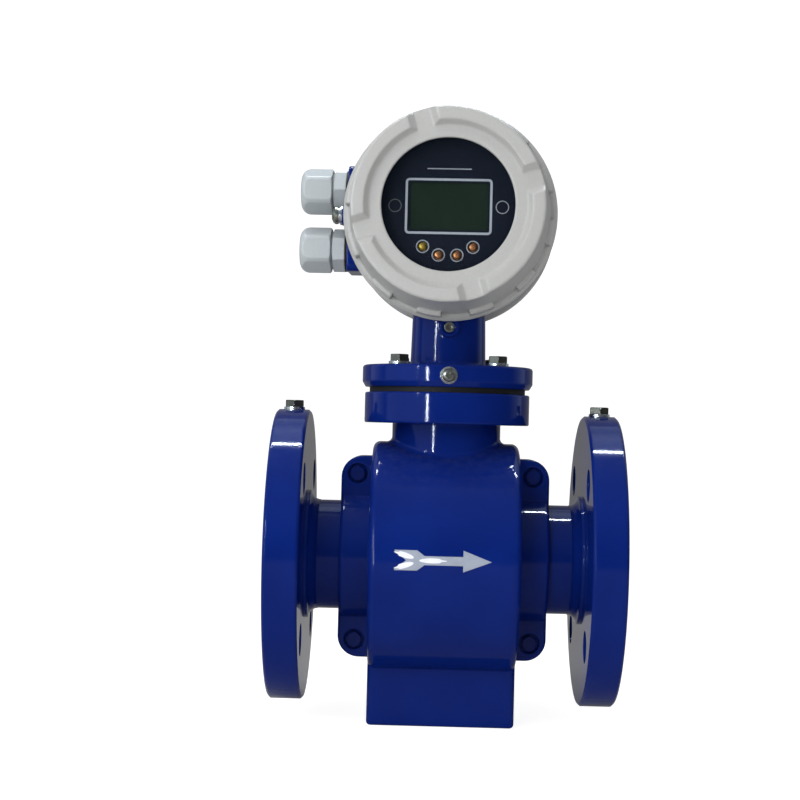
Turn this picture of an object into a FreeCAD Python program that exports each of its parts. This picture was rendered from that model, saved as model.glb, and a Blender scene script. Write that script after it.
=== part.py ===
"""Electromagnetic flow meter: a flanged, lined sensor tube with a swivelling display head.

Millimetres. The origin is on the flow bore's axis at mid-length, +X runs along the flow,
+Z points up to the head, and the display looks towards -Y. Every head piece is modelled
square to the axes and then turned about +Z by head_turn, the head's resting swivel angle.
"""
import FreeCAD, Part
import math
import os

V = FreeCAD.Vector
ORIGIN = V(0, 0, 0)
AX, AY, AZ = V(1, 0, 0), V(0, 1, 0), V(0, 0, 1)

# ---------------------------------------------------------------- fits and fasteners
seat_gap = 0.05            # radial gap of a round piece fixed in its seat
running_gap = 0.05         # radial gap of a turning or screwing fit
free_gap = 0.3             # gap between pieces that move past each other
m6_r = 3.0                 # thread radius of an M6 screw
m6_head_af = 10.0          # M6 hexagon across flats
m6_head_h = 4.0
m6_washer_r = 6.0
m6_washer_t = 1.6
m6_clearance_r = 3.4       # through hole for an M6 screw
m4_r = 2.0
m4_head_r = 3.7
m4_head_h = 2.6
m4_washer_r = 4.8
m4_washer_t = 0.9
m5_r = 2.5
m5_head_r = 5.1
m5_head_h = 3.6
m5_washer_r = 5.6
m5_washer_t = 1.2
spring_washer_t = 1.3      # spring washer under a ground screw's head
spring_washer_inset = 1.0  # how far it stays inside the flat washer

# ---------------------------------------------------------------- sensor tube and flanges
face_to_face = 200.0
bore_r = 25.0
liner_wall = 3.0
tube_wall = 3.0
flange_r = 82.5
flange_t = 19.0
flange_edge = 1.2
raised_face_r = 51.0
raised_face_t = 1.0
flare_t = 2.0              # liner flared over the raised face
flare_margin = 3.0         # raised face left bare outside the flare
hub_wall = 5.6
hub_len = 1.8              # short hub of full radius beside the plate
hub_round = 0.5
weld_len = 5.0             # hollow weld from the hub down to the tube
weld_toe = 0.2
process_bolt_count = 4
process_bolt_circle_r = 62.5
process_bolt_hole_r = 9.0
ground_screw_depth = 12.0

# ---------------------------------------------------------------- clamshell body
drum_r = 65.5
drum_half = 41.5
drum_wall = 5.0
drum_edge = 4.0
seam_t = 1.0               # gasket between the two shells
ear_reach = 59.0           # half length over the ears
ear_height = 57.0          # half height over the ears
ear_t = 13.0               # half thickness of the ear plates
ear_corner_r = 12.0
ear_edge = 1.2
ear_bolt_margin = 10.0     # ear's top edge to the bolt axis
spotface_r = 5.6
ear_screw_r = 2.5          # M5 screws through the ears
ear_clearance_r = 2.8
ear_head_af = 8.0
ear_head_h = 3.5
ear_nut_h = 4.0
spotface_depth = 3.0
collar_wall = 5.5
collar_inset = 0.5
collar_edge = 2.0
seal_section = 2.6
seal_inset = 6.0           # collar's outer end to its seal
foot_half_depth = 22.0
foot_z = -94.0
foot_corner = 3.0
neck_r = 31.0
neck_wall = 9.0
neck_fillet = 3.0
neck_flange_r = 47.2
neck_flange_z = 76.0
neck_flange_t = 17.5
neck_flange_edge = 1.0
feedthrough_r = 25.0
feedthrough_t = 5.0
feedthrough_depth = 10.5   # neck flange's top down to the feedthrough's seat

# ---------------------------------------------------------------- magnet system
shoe_t = 2.5
shoe_half = 20.0
shoe_angle = 40.0
core_r = 11.0
coil_wall = 12.5
coil_clearance = 2.1       # coil's outer edge to the yoke
yoke_gap = 4.5             # yoke to the drum's inner wall
yoke_t = 2.5
yoke_half = 22.0
lead_r = 1.0
lead_offset = 3.0
lead_hole_r = 5.0

# ---------------------------------------------------------------- electrodes
electrode_r = 2.0
electrode_head_r = 4.5
electrode_head_t = 1.0
electrode_len = 19.0
bush_wall = 3.9
bush_len = 8.0
electrode_nut_af = 7.0
electrode_nut_h = 3.0

# ---------------------------------------------------------------- neck seat
neck_gasket_t = 3.0
neck_gasket_r = 44.6
seat_flange_r = 48.8
seat_flange_t = 12.5
seat_flange_taper = 1.8
seat_flange_edge = 1.5
seat_neck_top_r = 20.9
seat_neck_foot_r = 21.6
seat_fillet = 3.0
neck_bolt_reach = 27.5     # bolt's distance from the neck axis along X and along Y
neck_bolt_len = 29.0
neck_ground_depth = 10.0
set_screw_drop = 7.0       # below the seat neck's top
set_screw_boss_r = 5.6
set_screw_boss_reach = 23.6
set_screw_recess = 1.5
set_screw_recess_r = 3.9
set_screw_r = 3.0
hex_socket_af = 3.0
hex_socket_depth = 2.5

# ---------------------------------------------------------------- display head
head_turn = -2.4           # degrees about +Z
head_axis_z = 193.6
barrel_r = 55.0
barrel_half = 25.7
barrel_wall = 5.0
barrel_edge = 1.5
spigot_r = 50.0
spigot_wall = 4.0
spigot_len = 16.0
partition_y = -6.0
partition_t = 3.0
stem_r = 17.0
stem_len = 25.0
stem_passage_r = 7.5
stem_groove_r = 15.0
stem_groove_w = 7.0
stem_seal_section = 2.2
neck_joint_gap = 0.3
head_drop = 1.0            # seat neck's top below the barrel

# ---------------------------------------------------------------- cable glands
gland_y = 8.0
gland_mid_z = 192.5
gland_pitch = 34.0
block_reach = 4.3          # block's face beyond the barrel's side
block_mid_y = 7.3
block_half_y = 17.7
block_half_z = 30.2
block_edge = 4.0
gland_thread_r = 10.0
gland_bore_depth = 15.5    # through the block and the barrel's wall
gland_thread_len = 11.0
gland_washer_t = 1.8
gland_washer_r = 12.3
gland_hex_af = 21.6
gland_hex_h = 7.4
gland_sleeve_r = 10.4
gland_sleeve_len = 12.0
gland_pocket_r = 7.0
gland_pocket_floor = 2.6   # pocket starts this far inside the hexagon
gland_core_r = 5.2
gland_seal_bore_r = 4.5
gland_seal_len = 13.0
gland_nut_af = 24.0
gland_nut_corner_r = 13.2
gland_nut_len = 18.4
gland_nut_dome = 5.5
gland_nut_mouth_r = 6.2
gland_nut_gap = 0.7        # hexagon to nut
ground_boss_r = 5.9
ground_boss_h = 3.2
ground_forward = 11.5      # ground screw in front of the gland axes
ground_rise = 2.2          # and above their middle
ground_tap_depth = 8.0

# ---------------------------------------------------------------- covers
cover_lip_r = 60.0
cover_lip_w = 2.4
cover_lip_bevel = 2.2
cover_wall_r = 56.1        # side wall where it meets the lip
cover_front_r = 52.7
front_cover_reach = 75.0   # head centre to the front of the raised band
rear_cover_reach = 60.0
lug_count = 12
lug_angle = 14.0
lug_phase = 12.5
lug_len = 9.5
lug_r = 58.3
lug_edge = 1.0
band_h = 3.5
band_inner_r = 42.9
band_top_inner_r = 45.3
band_edge = 1.3
band_gap_count = 4
band_gap_angle = 11.0      # at the gap's floor
band_gap_r = 48.0          # where that angle is measured
band_gap_phase = 17.4
window_r = 36.0
window_lip = 2.0
window_seat = 4.5
window_gasket_t = 0.8
glass_t = 4.4
retainer_t = 1.8
retainer_w = 3.2
cover_cavity_r = 46.0
cover_cavity_margin = 0.7
seal_ring_section = 2.4

# ---------------------------------------------------------------- electronics
face_t = 2.0
face_gap = 0.7             # retainer to the faceplate
face_inset = 1.2
carrier_depth = 5.9
board_t = 1.6
board_inset = 2.5
post_r = 3.0
post_reach = 26.2
rear_post_len = 14.0
middle_post_len = 14.4
lcd_w, lcd_h = 43.2, 27.2
lcd_frame = 4.0
lcd_t = 5.4
lcd_recess = 0.3
button_places = [(-13.6, -21.9), (-5.0, -26.4), (5.0, -26.4), (13.6, -21.9)]
button_r = 1.85
button_hole_r = 2.65
button_proud = 0.8
button_flange_r = 3.4
button_flange_t = 1.0
button_stem_r = 1.5
button_travel = 0.6
switch_side = 4.5
switch_h = 1.6
terminal_half_x = 32.0
terminal_half_z = 10.0
terminal_depth = 16.0
terminal_count = 7
terminal_screw_r = 2.2
terminal_screw_proud = 0.8

# ---------------------------------------------------------------- derived places
liner_r = bore_r + liner_wall
tube_r = liner_r + tube_wall
end_x = face_to_face / 2
plate_x1 = end_x - flare_t - raised_face_t
plate_x0 = plate_x1 - flange_t
plate_mid_x = (plate_x0 + plate_x1) / 2
hub_x = plate_x0 - hub_len
weld_x = hub_x - weld_len
collar_r = tube_r + collar_wall
collar_half = ear_reach - collar_inset
ear_bolt_x = (drum_half + ear_reach) / 2 - 0.6
ear_bolt_z = ear_height - ear_bolt_margin
neck_top_z = neck_flange_z + neck_flange_t
feed_z = neck_top_z - feedthrough_depth
seat_z = neck_top_z + neck_gasket_t
seat_top_z = seat_z + seat_flange_t
seat_mid_z = (seat_z + seat_top_z) / 2
seat_neck_z = head_axis_z - barrel_r - head_drop
set_screw_z = seat_neck_z - set_screw_drop
stem_z = seat_neck_z - stem_len
yoke_r = drum_r - drum_wall - yoke_gap - yoke_t
shoe_r = tube_r + shoe_t
coil_r = core_r + free_gap + coil_wall
coil_top = math.sqrt(yoke_r ** 2 - coil_r ** 2) - coil_clearance
coil_h = coil_top - shoe_r - free_gap
barrel_in_r = barrel_r - barrel_wall
spigot_in_r = spigot_r - spigot_wall
spigot_a = barrel_half + spigot_len
rim_a = barrel_half + free_gap
ring_a = rim_a + seal_ring_section / 2
ring_r = spigot_r + 0.4 + seal_ring_section / 2
front_step_a = front_cover_reach - band_h
glass_seat_r = window_r + window_seat
glass_a1 = front_step_a - window_lip - window_gasket_t
glass_a0 = glass_a1 - glass_t
retainer_a = glass_a0 - retainer_t
face_a1 = retainer_a - face_gap
face_a0 = face_a1 - face_t
carrier_a = face_a0 - carrier_depth
block_face_x = -barrel_r - block_reach
gland_zs = (gland_mid_z + gland_pitch / 2, gland_mid_z - gland_pitch / 2)
ground_y = gland_y - ground_forward
ground_z = gland_mid_z + ground_rise
gland_hex_x = block_face_x - gland_washer_t
gland_nut_x = gland_hex_x - gland_hex_h - gland_nut_gap
gland_nut_end_x = gland_nut_x - gland_nut_len
gland_pocket_x = gland_hex_x - gland_pocket_floor
gland_seal_x = gland_pocket_x - free_gap


# ---------------------------------------------------------------- shape helpers
def cyl(r, start, axis, length):
    return Part.makeCylinder(r, length, V(*start), axis)


def tube(r_out, r_in, start, axis, length):
    back = V(*start) - axis * 1.0
    hole = Part.makeCylinder(r_in, length + 2.0, back, axis)
    return cyl(r_out, start, axis, length).cut(hole)


def box(x0, x1, y0, y1, z0, z1):
    return Part.makeBox(x1 - x0, y1 - y0, z1 - z0, V(x0, y0, z0))


def revolved(points, origin, axis, across, angle=360.0):
    """Solid swept about axis by an outline of (distance along axis, radius) points."""
    wire = Part.makePolygon([origin + axis * a + across * r for a, r in points + points[:1]])
    return Part.Face(wire).revolve(origin, axis, angle)


def hexagon(af, start, axis, length, across):
    """Hexagonal prism along axis with a corner towards across."""
    corner = af / math.sqrt(3)
    side = axis.cross(across)
    points = []
    for i in range(7):
        a = math.radians(60 * i)
        points.append(V(*start) + across * (corner * math.cos(a)) + side * (corner * math.sin(a)))
    return Part.Face(Part.makePolygon(points)).extrude(axis * length)


def hex_head(af, start, axis, length, across):
    """Hexagon with its outer corners rounded off as a turned chamfer does."""
    prism = hexagon(af, start, axis, length, across)
    corner = af / math.sqrt(3)
    cap = [(0, 0), (0, corner), (length - 0.25 * (corner - af / 2) - 0.3, corner),
           (length, af / 2 - 0.2), (length, 0)]
    return prism.common(revolved(cap, V(*start), axis, across))


def fuse(shapes):
    whole = shapes[0].multiFuse(shapes[1:]) if len(shapes) > 1 else shapes[0]
    return whole.removeSplitter()


def cut(shape, tools):
    return shape.cut(tools)


def group(shapes):
    return Part.makeCompound(shapes)


def rounded(shape, radius, wanted):
    """Fillets the edges whose every sampled point passes wanted."""
    edges = []
    for edge in shape.Edges:
        points = edge.discretize(5)
        if all(wanted(p) for p in points):
            edges.append(edge)
    return shape.makeFillet(radius, edges)


def near(a, b, tolerance=0.02):
    return abs(a - b) < tolerance


def radius_about_x(p):
    return math.hypot(p.y, p.z)


def radius_about_z(p):
    return math.hypot(p.x, p.y)


def torus(centre, axis, r, section):
    return Part.makeTorus(r, section / 2, centre, axis)


# ---------------------------------------------------------------- sensor tube
def electrode_holes(r, reach):
    return cyl(r, (0, -reach, 0), AY, 2 * reach)


def measuring_tube():
    half = plate_x1 + raised_face_t
    wall = tube(tube_r, liner_r, (-half, 0, 0), AX, 2 * half)
    return wall.cut(electrode_holes(electrode_r + bush_wall + seat_gap, tube_r + 1))


def liner():
    flare_r = raised_face_r - flare_margin
    pipe_r = liner_r - seat_gap
    flare_x = end_x - flare_t
    outline = [(-end_x, 0), (-end_x, flare_r), (-flare_x, flare_r), (-flare_x, pipe_r),
               (flare_x, pipe_r), (flare_x, flare_r), (end_x, flare_r), (end_x, 0)]
    body = revolved(outline, ORIGIN, AX, AZ)
    body = body.cut(cyl(bore_r, (-end_x - 1, 0, 0), AX, face_to_face + 2))
    head_y = bore_r + electrode_head_t + seat_gap
    body = body.cut(electrode_holes(electrode_head_r + seat_gap, head_y))
    return body.cut(electrode_holes(electrode_r + seat_gap, tube_r))


def flange(side):
    """Plate with raised face, hub and hollow weld; side is -1 at the inlet and 1 at the outlet."""
    hub_r = tube_r + hub_wall
    face_x = plate_x1 + raised_face_t
    e = flange_edge
    toe_r = tube_r + weld_toe
    bead_h = hub_r - hub_round - toe_r
    outline = [(weld_x, 0)]
    for i in range(7):
        a = math.radians(15 * i)
        outline.append((weld_x + weld_len * math.sin(a), toe_r + bead_h * (1 - math.cos(a))))
    outline += [(hub_x + hub_round, hub_r),
               (plate_x0, hub_r), (plate_x0, flange_r - e), (plate_x0 + e, flange_r),
               (plate_x1 - e, flange_r), (plate_x1, flange_r - e), (plate_x1, raised_face_r),
               (face_x, raised_face_r), (face_x, 0)]
    body = revolved(outline, ORIGIN, AX * side, AZ)
    bore = cyl(tube_r + seat_gap, (side * (weld_x - 1), 0, 0), AX * side, face_x - weld_x + 2)
    tools = [bore]
    step = 360.0 / process_bolt_count
    for i in range(process_bolt_count):
        a = math.radians(step * (i + 0.5))
        y = process_bolt_circle_r * math.cos(a)
        z = process_bolt_circle_r * math.sin(a)
        tools.append(cyl(process_bolt_hole_r, (side * (plate_x0 - 1), y, z), AX * side, flange_t + 2))
    tools.append(cyl(m6_r, (side * plate_mid_x, 0, flange_r - ground_screw_depth), AZ, flange_r))
    tools.append(spot_flat(side))
    return cut(body, tools)


def spot_flat(side):
    """Flat that seats the ground screw's washer on the round rim."""
    return cyl(m6_washer_r + 0.5, (side * plate_mid_x, 0, rim_flat_z()), AZ, 5.0)


def rim_flat_z():
    return math.sqrt(flange_r ** 2 - (m6_washer_r + 0.5) ** 2)


def flange_ground_screws():
    screws = []
    for side in (-1, 1):
        z = rim_flat_z() + m6_washer_t
        low = flange_r - ground_screw_depth + 1.0
        shank = cyl(m6_r - seat_gap, (side * plate_mid_x, 0, low), AZ, z - low + 1)
        head = hex_head(m6_head_af, (side * plate_mid_x, 0, z), AZ, m6_head_h, AY)
        screws.append(fuse([shank, head]))
    return group(screws)


# ---------------------------------------------------------------- clamshell body
def ear_plates():
    plate = box(-ear_reach, ear_reach, -ear_t, ear_t, -ear_height, ear_height)
    plate = rounded(plate, ear_corner_r, lambda p: near(abs(p.x), ear_reach) and near(abs(p.z), ear_height))
    return rounded(plate, ear_edge, lambda p: near(abs(p.y), ear_t))


def drum_and_neck():
    drum = cyl(drum_r, (-drum_half, 0, 0), AX, 2 * drum_half)
    drum = rounded(drum, drum_edge, lambda p: near(radius_about_x(p), drum_r) and near(abs(p.x), drum_half))
    stalk = cyl(neck_r, (0, 0, 0), AZ, neck_flange_z + 1)
    whole = drum.fuse(stalk)

    def on_saddle(p):
        return near(radius_about_z(p), neck_r, 0.1) and near(radius_about_x(p), drum_r, 0.1)

    return rounded(whole, neck_fillet, on_saddle)


def foot():
    block = box(-drum_half, drum_half, -foot_half_depth, foot_half_depth, foot_z, 0)
    block = rounded(block, foot_corner, lambda p: near(abs(p.x), drum_half) and near(abs(p.y), foot_half_depth))
    return rounded(block, foot_corner - 0.8, lambda p: near(p.z, foot_z))


def neck_flange():
    disc = cyl(neck_flange_r, (0, 0, neck_flange_z), AZ, neck_flange_t)
    return rounded(disc, neck_flange_edge, lambda p: near(radius_about_z(p), neck_flange_r)
                   and (near(p.z, neck_top_z) or near(p.z, neck_flange_z)))


def neck_bolt_places():
    r = neck_bolt_reach
    return [(-r, -r), (r, -r), (r, r), (-r, r)]


def ear_bolt_places():
    x, z = ear_bolt_x, ear_bolt_z
    return [(-x, -z), (x, -z), (x, z), (-x, z)]


def whole_shell():
    collar = cyl(collar_r, (-collar_half, 0, 0), AX, 2 * collar_half)
    collar = rounded(collar, collar_edge, lambda p: near(radius_about_x(p), collar_r)
                     and near(abs(p.x), collar_half))
    body = fuse([drum_and_neck(), ear_plates(), collar, foot(), neck_flange()])
    tools = [
        cyl(drum_r - drum_wall, (-drum_half + drum_wall, 0, 0), AX, 2 * (drum_half - drum_wall)),
        cyl(tube_r + seat_gap, (-ear_reach - 1, 0, 0), AX, 2 * ear_reach + 2),
        cyl(neck_r - neck_wall, (0, 0, 0), AZ, neck_top_z + 1),
        cyl(feedthrough_r, (0, 0, feed_z), AZ, feedthrough_depth + 1),
    ]
    for side in (-1, 1):
        x = side * (collar_half - seal_inset)
        tools.append(cyl(tube_r + seal_section, (x - 0.7 * seal_section, 0, 0), AX, 1.4 * seal_section))
    for x, z in ear_bolt_places():
        tools.append(cyl(ear_clearance_r, (x, -ear_t - 1, z), AY, 2 * ear_t + 2))
        for face in (-1, 1):
            floor = face * (ear_t - spotface_depth)
            tools.append(cyl(spotface_r, (x, floor, z), AY * face, drum_r))
    low = seat_top_z + m6_washer_t - neck_bolt_len - 1.0
    for x, y in neck_bolt_places():
        tools.append(cyl(m6_r, (x, y, low), AZ, neck_top_z))
    return cut(body, tools)


def shell_half(whole, side):
    y0, y1 = sorted((side * seam_t / 2, side * 2 * drum_r))
    reach = 2 * drum_r
    return whole.common(box(-reach, reach, y0, y1, -reach, reach))


def seam_gasket(whole):
    reach = 2 * drum_r
    return whole.common(box(-reach, reach, -seam_t / 2, seam_t / 2, -reach, reach))


def collar_seals():
    seals = []
    for side in (-1, 1):
        centre = V(side * (collar_half - seal_inset), 0, 0)
        r = tube_r + seal_section / 2 + 0.02
        seals.append(torus(centre, AX, r, seal_section - 0.1))
    return group(seals)


def shell_bolts():
    bolts = []
    floor = ear_t - spotface_depth
    for x, z in ear_bolt_places():
        shank = cyl(ear_screw_r - seat_gap, (x, -floor - 1, z), AY, 2 * floor + ear_nut_h + 3)
        head = hex_head(ear_head_af, (x, -floor, z), -AY, ear_head_h, AZ)
        bolts.append(fuse([shank, head]))
    return group(bolts)


def shell_nuts():
    nuts = []
    floor = ear_t - spotface_depth
    for x, z in ear_bolt_places():
        nut = hex_head(ear_head_af, (x, floor, z), AY, ear_nut_h, AZ)
        nuts.append(nut.cut(cyl(ear_screw_r, (x, 0, z), AY, 3 * ear_t)))
    return group(nuts)


# ---------------------------------------------------------------- magnet system and electrodes
def pole_piece(side):
    """Curved shoe on the tube with a round core that reaches the yoke."""
    axis = AZ * side
    shoe = tube(shoe_r, tube_r + seat_gap, (-shoe_half, 0, 0), AX, 2 * shoe_half)
    spread = shoe_r * math.tan(math.radians(shoe_angle))
    wedge = Part.Face(Part.makePolygon([V(-shoe_half - 1, 0, 0), V(-shoe_half - 1, -spread, side * shoe_r),
                                        V(-shoe_half - 1, -spread, side * 2 * shoe_r),
                                        V(-shoe_half - 1, spread, side * 2 * shoe_r),
                                        V(-shoe_half - 1, spread, side * shoe_r),
                                        V(-shoe_half - 1, 0, 0)])).extrude(AX * (2 * shoe_half + 2))
    core = cyl(core_r, (0, 0, 0), axis, drum_r).common(cyl(yoke_r, (-drum_half, 0, 0), AX, 2 * drum_half))
    core = core.cut(cyl(shoe_r - 0.5, (-drum_half, 0, 0), AX, 2 * drum_half))
    return fuse([shoe.common(wedge), core])


def coil(side):
    r = core_r + free_gap
    return tube(r + coil_wall, r, (0, 0, side * (shoe_r + free_gap)), AZ * side, coil_h)


def lead_places():
    x = core_r + coil_wall / 2
    return [(s * x, t * lead_offset) for s in (-1, 1) for t in (-1, 1)]


def magnetic_yoke():
    ring = tube(yoke_r + yoke_t, yoke_r + seat_gap, (-yoke_half, 0, 0), AX, 2 * yoke_half)
    x = core_r + coil_wall / 2
    return cut(ring, [cyl(lead_hole_r, (s * x, 0, 0), AZ, drum_r) for s in (-1, 1)])


def sensor_leads():
    low = shoe_r + free_gap + coil_h
    return group([cyl(lead_r, (x, y, low), AZ, feed_z - low) for x, y in lead_places()])


def lead_feedthrough():
    return cyl(feedthrough_r - seat_gap, (0, 0, feed_z), AZ, feedthrough_t)


def electrode(side):
    axis = AY * side
    start = side * (bore_r + seat_gap)
    head = cyl(electrode_head_r, (0, start, 0), axis, electrode_head_t)
    return fuse([head, cyl(electrode_r, (0, start, 0), axis, electrode_len)])


def electrode_bushes():
    bushes = []
    for side in (-1, 1):
        start = (0, side * (liner_r + seat_gap), 0)
        bushes.append(tube(electrode_r + bush_wall, electrode_r + seat_gap, start, AY * side, bush_len))
    return group(bushes)


def electrode_nuts():
    nuts = []
    for side in (-1, 1):
        y = side * (liner_r + seat_gap + bush_len)
        nut = hex_head(electrode_nut_af, (0, y, 0), AY * side, electrode_nut_h, AZ)
        nuts.append(nut.cut(electrode_holes(electrode_r + seat_gap, drum_r)))
    return group(nuts)


# ---------------------------------------------------------------- neck seat and its screws
def neck_gasket():
    disc = tube(neck_gasket_r, feedthrough_r, (0, 0, neck_top_z), AZ, neck_gasket_t)
    return cut(disc, [cyl(m6_clearance_r, (x, y, neck_top_z - 1), AZ, neck_gasket_t + 2)
                      for x, y in neck_bolt_places()])


def neck_seat():
    e = seat_flange_edge
    outline = [(seat_z, 0), (seat_z, seat_flange_r - seat_flange_taper), (seat_z + 3.0, seat_flange_r),
               (seat_top_z - e, seat_flange_r), (seat_top_z - 0.3 * e, seat_flange_r - 0.3 * e),
               (seat_top_z, seat_flange_r - e), (seat_top_z, 0)]
    disc = revolved(outline, ORIGIN, AZ, AX)
    stalk = Part.makeCone(seat_neck_foot_r, seat_neck_top_r, seat_neck_z - seat_top_z, V(0, 0, seat_top_z), AZ)
    body = fuse([disc, stalk])
    body = rounded(body, seat_fillet, lambda p: near(p.z, seat_top_z) and near(radius_about_z(p), seat_neck_foot_r))
    boss = cyl(set_screw_boss_r, (0, 0, set_screw_z), -AY, set_screw_boss_reach)
    body = fuse([body, boss])
    tools = [
        cyl(stem_r + running_gap, (0, 0, stem_z - 1.0), AZ, stem_len + 10),
        cyl(stem_r, (0, 0, seat_z - 1), AZ, seat_neck_z - seat_z),
        cyl(set_screw_r, (0, 0, set_screw_z), -AY, 2 * seat_neck_foot_r),
        cyl(set_screw_recess_r, (0, -set_screw_boss_reach + set_screw_recess, set_screw_z), -AY, 10),
        cyl(m4_r, (0, -seat_flange_r + neck_ground_depth, seat_mid_z), -AY, 2 * neck_ground_depth),
        cyl(m4_washer_r + 0.4, (0, -seat_face_y(), seat_mid_z), -AY, 5),
    ]
    for x, y in neck_bolt_places():
        tools.append(cyl(m6_clearance_r, (x, y, seat_z - 1), AZ, seat_flange_t + 2))
    return cut(body, tools)


def seat_face_y():
    return math.sqrt(seat_flange_r ** 2 - (m4_washer_r + 0.4) ** 2)


def neck_bolts():
    bolts = []
    z = seat_top_z + m6_washer_t
    for x, y in neck_bolt_places():
        shank = cyl(m6_r - seat_gap, (x, y, z - neck_bolt_len), AZ, neck_bolt_len + 1)
        bolts.append(fuse([shank, hex_head(m6_head_af, (x, y, z), AZ, m6_head_h, AY)]))
    return group(bolts)


def neck_washers():
    return group([tube(m6_washer_r, m6_r + 0.2, (x, y, seat_top_z), AZ, m6_washer_t)
                  for x, y in neck_bolt_places()])


def pan_screw(r, head_r, head_h, start, axis, across, shank_len):
    """Pan head with a cross recess; start is the underside of the head."""
    dome = [(0, 0), (0, head_r), (0.45 * head_h, head_r), (0.8 * head_h, 0.82 * head_r),
            (head_h, 0.5 * head_r), (head_h, 0)]
    head = revolved(dome, V(*start), axis, across)
    shank = cyl(r, start, -axis, shank_len)
    screw = fuse([head, shank])
    side = axis.cross(across)
    slots = []
    for along, wide in ((across, side), (side, across)):
        corner = V(*start) + axis * (0.55 * head_h) - along * (0.55 * head_r) - wide * (0.09 * head_r)
        points = [corner, corner + along * (1.1 * head_r), corner + along * (1.1 * head_r) + wide * (0.18 * head_r),
                  corner + wide * (0.18 * head_r), corner]
        slots.append(Part.Face(Part.makePolygon(points)).extrude(axis * head_h))
    return cut(screw, slots)


def neck_ground_screw():
    y = -seat_face_y() - m4_washer_t - spring_washer_t
    shank = neck_ground_depth - 1.0
    return pan_screw(m4_r - seat_gap, m4_head_r, m4_head_h, (0, y, seat_mid_z), -AY, AX, shank)


def ground_washers():
    """Flat washers on the flange rims, and a flat and a spring washer on the neck seat."""
    washers = []
    for side in (-1, 1):
        start = (side * plate_mid_x, 0, rim_flat_z())
        washers.append(tube(m6_washer_r, m6_r + 0.2, start, AZ, m6_washer_t))
    y = -seat_face_y()
    washers.append(tube(m4_washer_r, m4_r + 0.1, (0, y, seat_mid_z), -AY, m4_washer_t))
    spring_r = m4_washer_r - spring_washer_inset
    washers.append(tube(spring_r, m4_r + 0.1, (0, y - m4_washer_t, seat_mid_z), -AY, spring_washer_t))
    return group(washers)


def neck_set_screw():
    tip = stem_groove_r + free_gap
    outer = set_screw_boss_reach - set_screw_recess
    screw = cyl(set_screw_r - seat_gap, (0, -tip, set_screw_z), -AY, outer - tip)
    socket = hexagon(hex_socket_af, (0, -outer + hex_socket_depth, set_screw_z), -AY, 5.0, AZ)
    return screw.cut(socket)


# ---------------------------------------------------------------- display head: housing
def turned(shape):
    """Gives a head piece the head's resting swivel angle."""
    shape = shape.copy()
    shape.rotate(ORIGIN, AZ, head_turn)
    return shape


HEAD = V(0, 0, head_axis_z)


def about_head(points, side=1, angle=360.0):
    """Revolves (distance from head centre, radius) points; side 1 faces the display end."""
    return revolved(points, HEAD, -AY * side, AX, angle)


def head_cyl(r, a0, a1, side=1):
    return Part.makeCylinder(r, a1 - a0, HEAD - AY * side * a0, -AY * side)


def housing():
    barrel = head_cyl(barrel_r, -barrel_half, barrel_half)
    barrel = rounded(barrel, barrel_edge, lambda p: near(abs(p.y), barrel_half))
    block = box(block_face_x, 0, block_mid_y - block_half_y, block_mid_y + block_half_y,
                gland_mid_z - block_half_z, gland_mid_z + block_half_z)
    block = rounded(block, block_edge, lambda p: near(abs(p.y - block_mid_y), block_half_y)
                    and near(abs(p.z - gland_mid_z), block_half_z))
    block = rounded(block, 1.0, lambda p: near(p.x, block_face_x))
    joint_z = seat_neck_z + neck_joint_gap
    collar = cyl(seat_neck_top_r, (0, 0, joint_z), AZ, barrel_wall + 5)
    stem = cyl(stem_r, (0, 0, stem_z), AZ, stem_len + 8)
    boss = cyl(ground_boss_r, (block_face_x + 1, ground_y, ground_z), -AX, ground_boss_h + 1)
    spigots = head_cyl(spigot_r, -spigot_a, spigot_a)
    body = fuse([barrel, block, collar, stem, boss, spigots])
    groove = tube(stem_r + 1, stem_groove_r, (0, 0, set_screw_z - stem_groove_w / 2), AZ, stem_groove_w)
    seal_z = stem_seal_z()
    seal_w = 1.3 * stem_seal_section
    seal_groove = tube(stem_r + 1, stem_r - stem_seal_section, (0, 0, seal_z - seal_w / 2), AZ, seal_w)
    room_a = barrel_half - barrel_wall
    tools = [groove, seal_groove,
             head_cyl(spigot_in_r, -spigot_a - 1, spigot_a + 1),
             head_cyl(barrel_in_r, -room_a, room_a),
             cyl(stem_passage_r, (0, 0, stem_z - 1), AZ, head_axis_z - stem_z)]
    wall = head_cyl(barrel_in_r + 0.5, -partition_y - partition_t, -partition_y)
    body = fuse([cut(body, tools), wall])
    bores = [cyl(gland_thread_r, (block_face_x - 1, gland_y, z), AX, gland_bore_depth + 1) for z in gland_zs]
    boss_x = block_face_x - ground_boss_h
    bores.append(cyl(m5_r, (boss_x - 1, ground_y, ground_z), AX, ground_tap_depth + 1))
    return cut(body, bores)


def stem_seal_z():
    return (stem_z + set_screw_z - stem_groove_w / 2) / 2


def stem_seal():
    r = stem_r - stem_seal_section / 2 - running_gap
    return torus(V(0, 0, stem_seal_z()), AZ, r, stem_seal_section - 0.1)


# ---------------------------------------------------------------- display head: glands
def gland_body(z, corner):
    """Threaded body; corner is the way one corner of its hexagon points."""
    x = gland_hex_x
    thread = cyl(gland_thread_r - seat_gap, (x, gland_y, z), AX, gland_thread_len + gland_washer_t)
    head = hex_head(gland_hex_af, (x, gland_y, z), -AX, gland_hex_h, corner)
    sleeve = cyl(gland_sleeve_r, (x, gland_y, z), -AX, gland_hex_h + gland_sleeve_len)
    body = fuse([thread, head, sleeve])
    inside = gland_thread_len + gland_washer_t + 1
    outside = gland_hex_h + gland_sleeve_len + 1
    core = cyl(gland_core_r, (x + inside, gland_y, z), -AX, inside + outside)
    pocket = cyl(gland_pocket_r, (gland_pocket_x, gland_y, z), -AX, outside)
    return cut(body, [core, pocket])


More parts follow.
